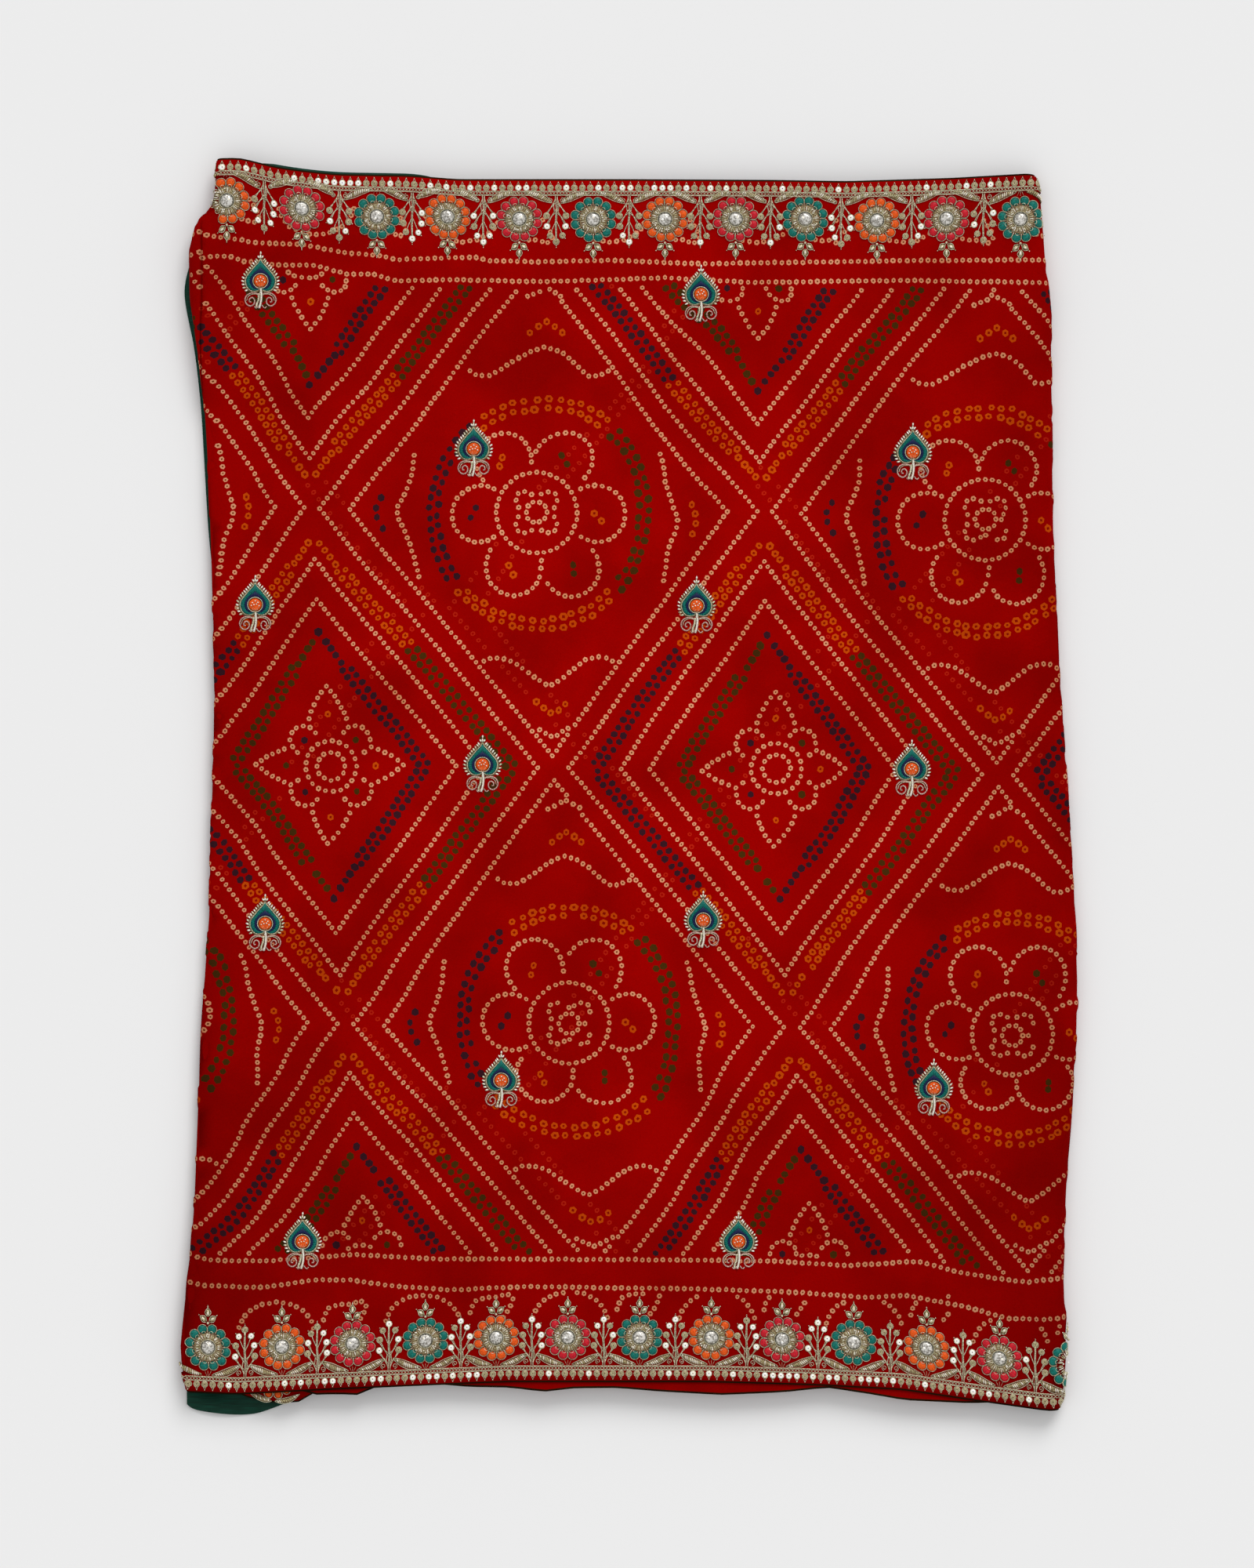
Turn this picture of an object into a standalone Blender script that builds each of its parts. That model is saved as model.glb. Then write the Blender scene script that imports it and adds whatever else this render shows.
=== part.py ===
"""A long bandhani cloth, folded in half three times and lying flat.

The red cloth lies in eight plies, one inside the other, so that its right side
shows one clean fold and its left side shows a soft roll. An embroidered border
is sewn along each selvedge on the face side, and a plain green panel is joined
to the end of the red cloth, at the bottom of the stack. Feather-shaped butis
are sewn on the top ply. +X is the cloth's right, +Y its upper selvedge, +Z up.
"""

import bisect
import math
from collections import namedtuple

import bmesh
import bpy

MM = 0.001
SHARP_DEGREES = 40

# Thicknesses and gaps, in millimetres.
CLOTH = 1.0
TRIM = 0.8
SEWN_GAP = 0.3
BACK_GAP = 0.6
FACE_GAP = 0.9
BORDER_FACE_GAP = 2.6

# The cloth's length between selvedges, and how the stack thins away from the borders.
WIDTH = 1100.0
BORDER_ZONE = 78.0
THIN_FROM = 270.0

# Distances of the mesh stations from the upper and the lower selvedge.
UPPER_STATIONS = (0, 16, 40, 58, 82, 130, 200, 300, 450)
LOWER_STATIONS = (0, 16, 40, 76, 120, 215, 340, 490)

# The outline of the folded cloth as it lies. Columns: place along the edge, how far out it is.
UPPER_EDGE = (
    (-374, 568.7), (-352, 569.4), (-319, 560.9), (-292, 557.4), (-264, 554.5), (-197, 553.4),
    (-156, 549.9), (-1, 549.9), (133, 549.2), (197, 548.1), (292, 551.0), (365, 555.2),
)
LOWER_EDGE = (
    (-401, -548.8), (-355, -551.0), (-273, -546.7), (-178, -542.4), (-108, -539.6), (70, -539.6),
    (166, -542.4), (248, -546.7), (309, -555.9), (380, -565.9),
)
LEFT_EDGE = (
    (-549, -401.2), (-529, -406.8), (-508, -408.3), (-463, -403.6), (-427, -399.0), (-373, -394.8),
    (-256, -389.8), (-166, -384.8), (-121, -381.3), (-53, -379.9), (85, -375.6), (176, -378.4),
    (256, -380.6), (312, -383.4), (347, -385.5), (399, -391.9), (442, -398.7), (486, -399.7),
    (512, -393.3), (524, -382.7), (530, -377.0), (552, -375.6), (569, -373.5),
)
RIGHT_EDGE = (
    (-566, 390.5), (-555, 395.5), (-526, 398.3), (-481, 398.3), (-445, 395.5), (-357, 398.3),
    (-302, 401.9), (-234, 406.6), (-190, 408.3), (-134, 406.6), (-53, 401.9), (2, 398.7),
    (63, 394.1), (119, 390.5), (217, 386.2), (321, 384.8), (428, 384.8), (454, 382.4),
    (479, 379.1), (510, 376.3), (542, 373.9), (552, 371.3), (556, 368.0),
)

# Lower edges of the two plies that show below the top one, by ply number. Columns: x, y.
SEVENTH_LOWER_EDGE = (
    (-400, -543.0), (-300, -545.0), (-289, -551.3), (-260, -550.4), (-248, -552.4), (-233, -546.0),
    (-222, -540.5), (-178, -541.0), (-145, -544.0), (-108, -544.6), (-76, -548.5), (-50, -545.2),
    (-10, -544.9), (28, -548.1), (85, -551.3), (141, -548.8), (180, -544.6), (222, -551.0),
    (250, -556.0), (309, -558.8), (345, -557.5), (385, -563.0),
)
SIXTH_LOWER_EDGE = (
    (-400, -543.0), (-362, -546.0), (-346, -553.5), (-328, -558.1), (-305, -559.3), (-294, -556.5),
    (-284, -548.0), (-180, -540.0), (70, -536.0), (248, -543.0), (385, -560.0),
)
OWN_LOWER_EDGES = {6: SIXTH_LOWER_EDGE, 7: SEVENTH_LOWER_EDGE}

# How wide the soft roll of the left fold is, against the height up the cloth. Columns: y, roll.
LEFT_ROLL = (
    (-549, 4.5), (-463, 7.0), (-166, 8.0), (256, 9.0), (347, 15.0), (486, 17.0), (512, 13.0),
    (524, 6.0), (530, 4.5), (569, 4.5),
)

# Edges of the green panel that show past the red cloth. Columns: place along the edge, how far out.
GREEN_LOWER_EDGE = (
    (-400.6, -560.5), (-396, -564.5), (-384, -567.3), (-359, -570.1), (-339, -569.4), (-326, -565.2),
    (-305, -557.0), (-285, -546.0), (-240, -541.0), (-100, -536.0), (70, -536.0), (200, -540.0),
    (345, -554.0),
)
GREEN_UPPER_EDGE = (
    (-366, 557.0), (-335, 566.8), (-300, 560.6), (-264, 556.9), (-225, 556.3), (-190, 555.6),
    (-170, 550.0), (0, 546.0), (150, 545.0), (320, 546.0),
)
GREEN_LEFT_EDGE = (
    (-540, -400.9), (-450, -397.0), (-300, -386.0), (-60, -375.0), (85, -371.0), (176, -375.0),
    (222, -380.5), (256, -382.8), (312, -385.8), (347, -388.0), (399, -394.0), (421, -399.0),
    (442, -402.8), (454, -402.8), (467, -400.0), (500, -390.0), (525, -371.0),
)

# The plies from the bottom up. Tucks say how far an edge lies inside the top ply's edge, and the
# wave how much it wanders. Columns: the gap below it, tucks, wave, wavelength, columns of its mesh.
Ply = namedtuple("Ply", "number gap_below upper_tuck lower_tuck wave wavelength columns")
PLIES = (
    Ply(1, "floor", 3.0, 2.0, 0.0, 300, (0, 1)),
    Ply(2, "back", 4.0, 4.0, 1.2, 260, (0, 0.22, 0.5, 0.78, 1)),
    Ply(3, "face", 6.5, 5.0, 1.5, 310, (0, 0.25, 0.5, 0.75, 1)),
    Ply(4, "back", 5.0, 6.0, 1.5, 270, (0, 0.25, 0.5, 0.75, 1)),
    Ply(5, "face", 3.5, 4.0, 1.2, 340, (0, 0.25, 0.5, 0.75, 1)),
    Ply(6, "back", 4.5, 0.0, 1.5, 290, (0, 0.055, 0.078, 0.1, 0.128, 0.142, 0.155, 0.4, 0.7, 1)),
    Ply(7, "face", 2.5, 0.0, 1.0, 330, (
        0, 0.125, 0.139, 0.176, 0.192, 0.211, 0.225, 0.323, 0.37, 0.411, 0.444,
        0.495, 0.544, 0.617, 0.688, 0.738, 0.792, 0.828, 0.903, 0.949, 1)),
    Ply(8, "back", 0.0, 0.0, 0.0, 300, (
        0, 0.025, 0.05, 0.1, 0.145, 0.235, 0.29, 0.4, 0.5, 0.6, 0.69, 0.775, 0.85,
        0.905, 0.955, 1)),
)

# The folds, in the order in which the cloth runs through them. Columns: the side that the fold is
# on, the plies it joins in that order, how far it is tucked in, its sway, and its arc points.
Fold = namedtuple("Fold", "side first second tuck sway arc_points")
FOLDS = (
    Fold("right", 1, 8, 0.0, 0.0, 7),
    Fold("left", 8, 5, 0.0, 0.0, 5),
    Fold("right", 5, 4, 9.0, 1.6, 3),
    Fold("left", 4, 3, 4.5, 1.5, 3),
    Fold("right", 3, 6, 6.0, 1.4, 3),
    Fold("left", 6, 7, 3.0, 1.2, 3),
    Fold("right", 7, 2, 2.5, 1.0, 5),
)
SWAY_LENGTH = 55.0

# The red cloth ends under the stack, where the green panel joins it.
SEAM_TAIL = 45.0
FREE_END_TUCK = 6.0
FREE_END_SWAY = 2.0

# Soft billows of the top ply. Columns: x, y, half length along x and y, height.
BILLOWS = (
    (-150, 250, 140, 150, 1.6),
    (180, 110, 150, 170, 1.8),
    (-130, -150, 150, 130, 1.5),
    (210, -230, 140, 140, 1.6),
)

# The borders: sewn just inside the hem, with a rail and one lobe for each flower.
HEM = 1.5
RAIL = 16.0
HIDDEN_DEPTH = 40.0
UPPER_FLOWERS = (-362, -298, -227, -163, -99, -32, 33, 97, 160, 224, 288, 356)
LOWER_FLOWERS = (-383, -314, -250, -184, -120, -55, 10, 75, 139, 204, 270, 336)
# Half of a flower with its bud, and half of the sprig between two flowers, from the middle
# outwards. Columns: distance from the middle, depth.
LOBE = ((0, 78), (6.5, 71), (8, 60), (14, 54.5), (18.5, 47), (20, 38), (21, 22))
SPRIG = ((0, 64), (6, 54.5), (9.5, 44), (10, 31))
LOBE_MARGIN = 6.0

# Butis on the top ply. Columns: x, y.
BUTIS = (
    (-334, 458), (65, 446), (-141, 306), (257, 303), (-339, 165), (61, 164), (-133, 20),
    (256, 16), (-330, -124), (67, -121), (-116, -266), (276, -273), (-296, -412), (99, -412),
)
# Half of a buti, from its tip down to its scrolls. Columns: height, half width.
BUTI_OUTLINE = (
    (25, 0), (19, 4.5), (12, 11.5), (5, 16.5), (-1, 17.8), (-6, 15), (-9, 6.5), (-13, 8), (-18, 12),
    (-23, 9), (-25.5, 0),
)

# Colours as linear red, green and blue, then roughness and metallic value.
FINISHES = {
    "red_cloth": ((0.33, 0.004, 0.004), 0.8, 0.0),
    "green_panel": ((0.004, 0.045, 0.028), 0.55, 0.0),
    "border": ((0.36, 0.28, 0.18), 0.45, 0.6),
    "buti": ((0.01, 0.13, 0.13), 0.5, 0.2),
}


def along(table, place):
    """The second column of a table at a place in its first, straight between rows."""
    places = [row[0] for row in table]
    if place <= places[0]:
        return table[0][1]
    if place >= places[-1]:
        return table[-1][1]
    above = bisect.bisect_right(places, place)
    (from_place, from_value), (to_place, to_value) = table[above - 1], table[above]
    share = (place - from_place) / (to_place - from_place)
    return from_value + share * (to_value - from_value)


def mix(first, second, share):
    return first + (second - first) * share


def station_shares():
    """Shares of the way from the lower to the upper selvedge, one for each mesh station."""
    lower = [distance / WIDTH for distance in LOWER_STATIONS]
    upper = [1 - distance / WIDTH for distance in reversed(UPPER_STATIONS)]
    return lower + upper


def border_weight(share):
    """1 where the borders make the stack thick, 0 where it has settled thin."""
    distance = min(share, 1 - share) * WIDTH
    fade = (distance - BORDER_ZONE) / (THIN_FROM - BORDER_ZONE)
    fade = min(max(fade, 0.0), 1.0)
    return 1 - fade * fade * (3 - 2 * fade)


def ply_middle(number, weight):
    """Height of a ply's middle above the floor."""
    gaps = {
        "floor": (TRIM + SEWN_GAP) * weight,
        "back": CLOTH + BACK_GAP,
        "face": CLOTH + mix(FACE_GAP, BORDER_FACE_GAP, weight),
    }
    return CLOTH / 2 + sum(gaps[ply.gap_below] for ply in PLIES[:number])


def billow(x, y, weight):
    """How far the top ply lifts off the one below it."""
    lift = 0.0
    for middle_x, middle_y, length_x, length_y, height in BILLOWS:
        lift += height * math.exp(-(((x - middle_x) / length_x) ** 2) - ((y - middle_y) / length_y) ** 2)
    return lift * (1 - weight)


def ply_edges(ply, x):
    """The lower and the upper edge of a ply at x."""
    wave = ply.wave * math.sin(math.tau * x / ply.wavelength + ply.number)
    if ply.number in OWN_LOWER_EDGES:
        lower = along(OWN_LOWER_EDGES[ply.number], x)
    else:
        lower = along(LOWER_EDGE, x) + ply.lower_tuck + wave
    upper = along(UPPER_EDGE, x) - ply.upper_tuck - wave
    return lower, upper


def side_y(table_x, share):
    """How far up the cloth a station is at the left or the right side of the top ply."""
    lower, upper = ply_edges(PLIES[-1], table_x)
    return mix(lower, upper, share)


def fold_shape(fold, share):
    """Where a fold begins at a station, and how far it reaches past that."""
    weight = border_weight(share)
    middles = [ply_middle(number, weight) for number in (fold.first, fold.second)]
    half_height = abs(middles[0] - middles[1]) / 2
    sway = fold.sway * math.sin(share * WIDTH / SWAY_LENGTH + fold.first)
    trimmed = CLOTH / 2 + (TRIM + SEWN_GAP) * weight
    if fold.side == "right":
        outer = FOLDS[0]
        outer_half = (ply_middle(outer.second, weight) - ply_middle(outer.first, weight)) / 2
        begin = along(RIGHT_EDGE, side_y(RIGHT_EDGE[0][1], share)) - trimmed - outer_half
        return begin - fold.tuck - sway, half_height
    y = side_y(LEFT_EDGE[0][1], share)
    roll = along(LEFT_ROLL, y)
    begin = along(LEFT_EDGE, y) + trimmed + roll
    if fold.tuck:
        return begin + fold.tuck + sway, half_height
    return begin, roll


def ply_ends(number, share):
    """The x at which the flat part of a ply begins and ends."""
    ends = {}
    for fold in FOLDS:
        if number in (fold.first, fold.second):
            ends[fold.side] = fold_shape(fold, share)[0]
    if number == 1:
        ends["left"] = ends["right"] - SEAM_TAIL
    if "left" not in ends:
        y = side_y(LEFT_EDGE[0][1], share)
        sway = FREE_END_SWAY * math.sin(y / SWAY_LENGTH)
        ends["left"] = along(LEFT_EDGE, y) + FREE_END_TUCK + sway
    return ends["left"], ends["right"]


Node = namedtuple("Node", "x y z face_x face_z")


def ply_nodes(number, share, leftwards):
    """Nodes across one ply, in the order in which the cloth runs, with the way its face looks."""
    ply = PLIES[number - 1]
    weight = border_weight(share)
    left, right = ply_ends(number, share)
    nodes = []
    for column in ply.columns:
        x = mix(left, right, column)
        lower, upper = ply_edges(ply, x)
        y = mix(lower, upper, share)
        z = ply_middle(number, weight)
        if number == len(PLIES):
            z += billow(x, y, weight)
        nodes.append(Node(x, y, z, 0.0, 1.0 if leftwards else -1.0))
    return nodes[::-1] if leftwards else nodes


def fold_nodes(fold, share, start, end):
    """Nodes round a fold, between the last node of one ply and the first of the next."""
    reach = fold_shape(fold, share)[1]
    side = 1.0 if fold.side == "right" else -1.0
    middle_z = (start.z + end.z) / 2
    half_height = (start.z - end.z) / 2
    nodes = []
    for step in range(1, fold.arc_points + 1):
        angle = math.pi * step / (fold.arc_points + 1)
        along_x = math.sin(angle)
        along_z = math.cos(angle)
        x = mix(start.x, end.x, (1 - along_z) / 2) + side * reach * along_x
        y = mix(start.y, end.y, (1 - along_z) / 2)
        z = middle_z + half_height * along_z
        normal_x = side * along_x / reach
        normal_z = along_z / half_height
        length = math.hypot(normal_x, normal_z)
        outward = 1.0 if (start.face_z > 0) == (start.z > end.z) else -1.0
        nodes.append(Node(x, y, z, outward * normal_x / length, outward * normal_z / length))
    return nodes


def section(share):
    """The cloth's path at one station, from the seam of the green panel to its free end."""
    nodes = ply_nodes(FOLDS[0].first, share, leftwards=False)
    for fold in FOLDS:
        following = ply_nodes(fold.second, share, leftwards=fold.side == "right")
        nodes += fold_nodes(fold, share, nodes[-1], following[0])
        nodes += following
    return nodes


def surface(path, place, share):
    """A point of the folded cloth between mesh nodes: a place along the path, a share up the cloth."""
    shares = station_shares()
    row = min(max(bisect.bisect_right(shares, share) - 1, 0), len(shares) - 2)
    up = (share - shares[row]) / (shares[row + 1] - shares[row])
    column = min(int(place), len(path[0]) - 2)
    over = place - column
    corners = (path[row][column], path[row][column + 1], path[row + 1][column], path[row + 1][column + 1])
    mixed = [
        mix(mix(near_left, near_right, over), mix(far_left, far_right, over), up)
        for near_left, near_right, far_left, far_right in zip(*corners)
    ]
    return Node(*mixed)


def lifted(node, distance):
    """A point at a distance from the middle of the cloth, towards its face."""
    return (node.x + node.face_x * distance, node.y, node.z + node.face_z * distance)


def add_object(name, points, faces, finish):
    """One closed body with its faces pointing out, and its own material."""
    body = bmesh.new()
    vertices = [body.verts.new([value * MM for value in point]) for point in points]
    for face in faces:
        body.faces.new([vertices[index] for index in face])
    bmesh.ops.triangulate(body, faces=body.faces[:])
    bmesh.ops.recalc_face_normals(body, faces=body.faces[:])
    mesh = bpy.data.meshes.new(name)
    body.to_mesh(mesh)
    body.free()
    colour, roughness, metallic = FINISHES[finish]
    material = bpy.data.materials.new(name)
    material.use_nodes = True
    shader = material.node_tree.nodes["Principled BSDF"]
    shader.inputs["Base Color"].default_value = (*colour, 1.0)
    shader.inputs["Roughness"].default_value = roughness
    shader.inputs["Metallic"].default_value = metallic
    mesh.materials.append(material)
    mesh.shade_smooth()
    mesh.set_sharp_from_angle(angle=math.radians(SHARP_DEGREES))
    made = bpy.data.objects.new(name, mesh)
    bpy.context.scene.collection.objects.link(made)
    return made


def slab(front_rows, back_rows):
    """Points and faces of a sheet between two grids of points of the same size."""
    rows, columns = len(front_rows), len(front_rows[0])
    points = [point for row in front_rows for point in row] + [point for row in back_rows for point in row]
    back = rows * columns

    def at(row, column):
        return row * columns + column

    faces = []
    for row in range(rows - 1):
        for column in range(columns - 1):
            ring = (at(row, column), at(row, column + 1), at(row + 1, column + 1), at(row + 1, column))
            faces.append(ring)
            faces.append(tuple(back + index for index in reversed(ring)))
    rim = [at(0, column) for column in range(columns)]
    rim += [at(row, columns - 1) for row in range(1, rows)]
    rim += [at(rows - 1, column) for column in range(columns - 2, -1, -1)]
    rim += [at(row, 0) for row in range(rows - 2, 0, -1)]
    for first, second in zip(rim, rim[1:] + rim[:1]):
        faces.append((second, first, back + first, back + second))
    return points, faces


def make_red_cloth(path):
    face = [[lifted(node, CLOTH / 2) for node in row] for row in path]
    back = [[lifted(node, -CLOTH / 2) for node in row] for row in path]
    add_object("red_cloth", *slab(face, back), "red_cloth")


def make_green_panel(path):
    """The plain end panel, cut flat, with a butt seam against the red cloth's end."""
    seam = [(row[0].x - SEWN_GAP, row[0].y) for row in path]
    outline = [(x, y) for x, y in GREEN_LOWER_EDGE if x < seam[0][0]]
    outline += seam
    outline += [(x, y) for x, y in reversed(GREEN_UPPER_EDGE) if x < seam[-1][0]]
    outline += [(x, y) for y, x in reversed(GREEN_LEFT_EDGE)]
    count = len(outline)
    points = [(x, y, 0.0) for x, y in outline] + [(x, y, CLOTH) for x, y in outline]
    faces = [tuple(range(count)), tuple(range(2 * count - 1, count - 1, -1))]
    for index in range(count):
        following = (index + 1) % count
        faces.append((following, index, count + index, count + following))
    add_object("green_panel", points, faces, "green_panel")


def top_ply_span(path):
    """First and last place of the top ply on the path."""
    first = len(PLIES[0].columns) + FOLDS[0].arc_points
    return first, first + len(PLIES[-1].columns) - 1


def place_at(path, x, share):
    """The place on the path at which the top ply is at x."""
    first, last = top_ply_span(path)
    for column in range(first, last):
        left = surface(path, column + 1, share).x
        right = surface(path, column, share).x
        if left <= x <= right:
            return column + (right - x) / (right - left)
    return first if x > surface(path, first, share).x else last


def lobe_columns(flowers, left, right):
    """The border's inner outline over the top ply: depth at each x, from left to right."""
    columns = {}
    for index, middle in enumerate(flowers):
        for distance, depth in LOBE:
            columns[middle - distance] = depth
            columns[middle + distance] = depth
        if index + 1 < len(flowers):
            between = (middle + flowers[index + 1]) / 2
            for distance, depth in SPRIG:
                columns[between - distance] = depth
                columns[between + distance] = depth
    return sorted((x, depth) for x, depth in columns.items() if left < x < right)


def make_border(name, path, flowers, upper):
    """An embroidered strip on the face of the cloth, all the way along its selvedge."""
    def share_at(depth):
        return 1 - depth / WIDTH if upper else depth / WIDTH

    first, last = top_ply_span(path)
    left = surface(path, last, share_at(RAIL)).x + LOBE_MARGIN
    right = surface(path, first, share_at(RAIL)).x - LOBE_MARGIN
    outline = lobe_columns(flowers, left, right)
    for column in range(first + 1, last):
        x = surface(path, column, share_at(RAIL)).x
        if outline[0][0] < x < outline[-1][0]:
            outline.append((x, along(outline, x)))
            outline.sort()
    before = [(column, None, HIDDEN_DEPTH) for column in range(first + 1)]
    over = [(None, x, depth) for x, depth in reversed(outline)]
    after = [(column, None, HIDDEN_DEPTH) for column in range(last, len(path[0]))]
    face, back = [[], [], []], [[], [], []]
    for column, x, inner in before + over + after:
        for row, depth in enumerate((HEM, RAIL, inner)):
            share = share_at(depth)
            place = column if x is None else place_at(path, x, share)
            node = surface(path, place, share)
            back[row].append(lifted(node, CLOTH / 2 + SEWN_GAP))
            face[row].append(lifted(node, CLOTH / 2 + SEWN_GAP + TRIM))
    add_object(name, *slab(face, back), "border")


def make_buti(name, path, middle_x, middle_y):
    """A heart-shaped patch with its stem and scrolls, following the top ply."""
    half_outline = BUTI_OUTLINE[1:-1]
    outline = [(0.0, BUTI_OUTLINE[0][0])]
    outline += [(width, height) for height, width in half_outline]
    outline.append((0.0, BUTI_OUTLINE[-1][0]))
    outline += [(-width, height) for height, width in reversed(half_outline)]
    count = len(outline)
    lower, upper = [], []
    for across, up in outline:
        x, y = middle_x + across, middle_y + up
        bottom, top = ply_edges(PLIES[-1], x)
        share = (y - bottom) / (top - bottom)
        node = surface(path, place_at(path, x, share), share)
        lower.append(lifted(node, CLOTH / 2 + SEWN_GAP))
        upper.append(lifted(node, CLOTH / 2 + SEWN_GAP + TRIM))
    faces = []
    for base, turned in ((0, False), (count, True)):
        rungs = [(0, 0)] + [(index, count - index) for index in range(1, len(half_outline) + 1)]
        rungs.append((len(half_outline) + 1,) * 2)
        for (right, left), (next_right, next_left) in zip(rungs, rungs[1:]):
            ring = []
            for index in (right, next_right, next_left, left):
                if base + index not in ring:
                    ring.append(base + index)
            faces.append(tuple(reversed(ring)) if turned else tuple(ring))
    for index in range(count):
        following = (index + 1) % count
        faces.append((following, index, count + index, count + following))
    add_object(name, lower + upper, faces, "buti")


def centre_on_origin():
    """Moves every mesh so that the footprint's middle is at the origin."""
    meshes = [made.data for made in bpy.context.scene.objects]
    for axis in (0, 1):
        values = [vertex.co[axis] for mesh in meshes for vertex in mesh.vertices]
        shift = (min(values) + max(values)) / 2
        for mesh in meshes:
            for vertex in mesh.vertices:
                vertex.co[axis] -= shift


for leftover in list(bpy.context.scene.objects):
    bpy.data.objects.remove(leftover, do_unlink=True)

cloth_path = [section(share) for share in station_shares()]
make_red_cloth(cloth_path)
make_green_panel(cloth_path)
make_border("upper_border", cloth_path, UPPER_FLOWERS, upper=True)
make_border("lower_border", cloth_path, LOWER_FLOWERS, upper=False)
for number, (buti_x, buti_y) in enumerate(BUTIS, start=1):
    make_buti(f"buti_{number:02d}", cloth_path, buti_x, buti_y)
centre_on_origin()
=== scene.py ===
"""Looks for a long bandhani cloth, folded in half three times and lying flat.

The cloth repeats the folds, outline and places of the CAD part, on a finer mesh.
Lengths are millimetres, turned into metres where a mesh is made. +X is the
cloth's right, +Y its upper selvedge and +Z up.
"""

import math
import random
from collections import namedtuple

import bpy
import numpy as np
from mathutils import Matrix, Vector
from mathutils.geometry import delaunay_2d_cdt


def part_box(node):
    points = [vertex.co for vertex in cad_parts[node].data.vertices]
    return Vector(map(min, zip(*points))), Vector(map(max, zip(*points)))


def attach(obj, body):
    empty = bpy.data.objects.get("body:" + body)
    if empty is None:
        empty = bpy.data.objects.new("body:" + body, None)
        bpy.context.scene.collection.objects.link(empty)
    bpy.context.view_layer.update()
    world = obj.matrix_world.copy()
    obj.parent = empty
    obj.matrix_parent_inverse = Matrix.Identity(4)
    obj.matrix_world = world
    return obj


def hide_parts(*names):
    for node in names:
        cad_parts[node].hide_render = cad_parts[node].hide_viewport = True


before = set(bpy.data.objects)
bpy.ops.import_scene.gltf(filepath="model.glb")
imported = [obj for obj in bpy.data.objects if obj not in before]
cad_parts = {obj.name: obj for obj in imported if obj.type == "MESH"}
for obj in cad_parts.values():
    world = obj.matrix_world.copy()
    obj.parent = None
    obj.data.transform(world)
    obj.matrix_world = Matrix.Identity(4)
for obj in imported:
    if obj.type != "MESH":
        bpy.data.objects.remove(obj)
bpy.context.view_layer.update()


# The red cloth: one length of sheer polyester crepe, 1.10 m wide, tie-dyed by the bandhani way.
# Every dot was pinched up, bound with thread and dyed round, which leaves a pale ring with a dark
# middle. It is folded in half three times, so eight plies lie one inside the other.
MM = 0.001
CLOTH = 1.0
TRIM = 0.8
SEWN_GAP = 0.3
BACK_GAP = 0.6
FACE_GAP = 0.9
BORDER_FACE_GAP = 2.6
WIDTH = 1100.0
BORDER_ZONE = 78.0
THIN_FROM = 270.0

# The outline as it lies. Columns: place along the edge, how far out it is.
UPPER_EDGE = (
    (-374, 568.7), (-352, 569.4), (-319, 560.9), (-292, 557.4), (-264, 554.5), (-197, 553.4),
    (-156, 549.9), (-1, 549.9), (133, 549.2), (197, 548.1), (292, 551.0), (365, 555.2),
)
LOWER_EDGE = (
    (-401, -548.8), (-355, -551.0), (-273, -546.7), (-178, -542.4), (-108, -539.6), (70, -539.6),
    (166, -542.4), (248, -546.7), (309, -555.9), (380, -565.9),
)
LEFT_EDGE = (
    (-549, -401.2), (-529, -406.8), (-508, -408.3), (-463, -403.6), (-427, -399.0), (-373, -394.8),
    (-256, -389.8), (-166, -384.8), (-121, -381.3), (-53, -379.9), (85, -375.6), (176, -378.4),
    (256, -380.6), (312, -383.4), (347, -385.5), (399, -391.9), (442, -398.7), (486, -399.7),
    (512, -393.3), (524, -382.7), (530, -377.0), (552, -375.6), (569, -373.5),
)
RIGHT_EDGE = (
    (-566, 390.5), (-555, 395.5), (-526, 398.3), (-481, 398.3), (-445, 395.5), (-357, 398.3),
    (-302, 401.9), (-234, 406.6), (-190, 408.3), (-134, 406.6), (-53, 401.9), (2, 398.7),
    (63, 394.1), (119, 390.5), (217, 386.2), (321, 384.8), (428, 384.8), (454, 382.4),
    (479, 379.1), (510, 376.3), (542, 373.9), (552, 371.3), (556, 368.0),
)
SEVENTH_LOWER_EDGE = (
    (-400, -543.0), (-300, -545.0), (-289, -551.3), (-260, -550.4), (-248, -552.4), (-233, -546.0),
    (-222, -540.5), (-178, -541.0), (-145, -544.0), (-108, -544.6), (-76, -548.5), (-50, -545.2),
    (-10, -544.9), (28, -548.1), (85, -551.3), (141, -548.8), (180, -544.6), (222, -551.0),
    (250, -556.0), (309, -558.8), (345, -557.5), (385, -563.0),
)
SIXTH_LOWER_EDGE = (
    (-400, -543.0), (-362, -546.0), (-346, -553.5), (-328, -558.1), (-305, -559.3), (-294, -556.5),
    (-284, -548.0), (-180, -540.0), (70, -536.0), (248, -543.0), (385, -560.0),
)
LEFT_ROLL = (
    (-549, 4.5), (-463, 7.0), (-166, 8.0), (256, 9.0), (347, 15.0), (486, 17.0), (512, 13.0),
    (524, 6.0), (530, 4.5), (569, 4.5),
)

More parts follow.
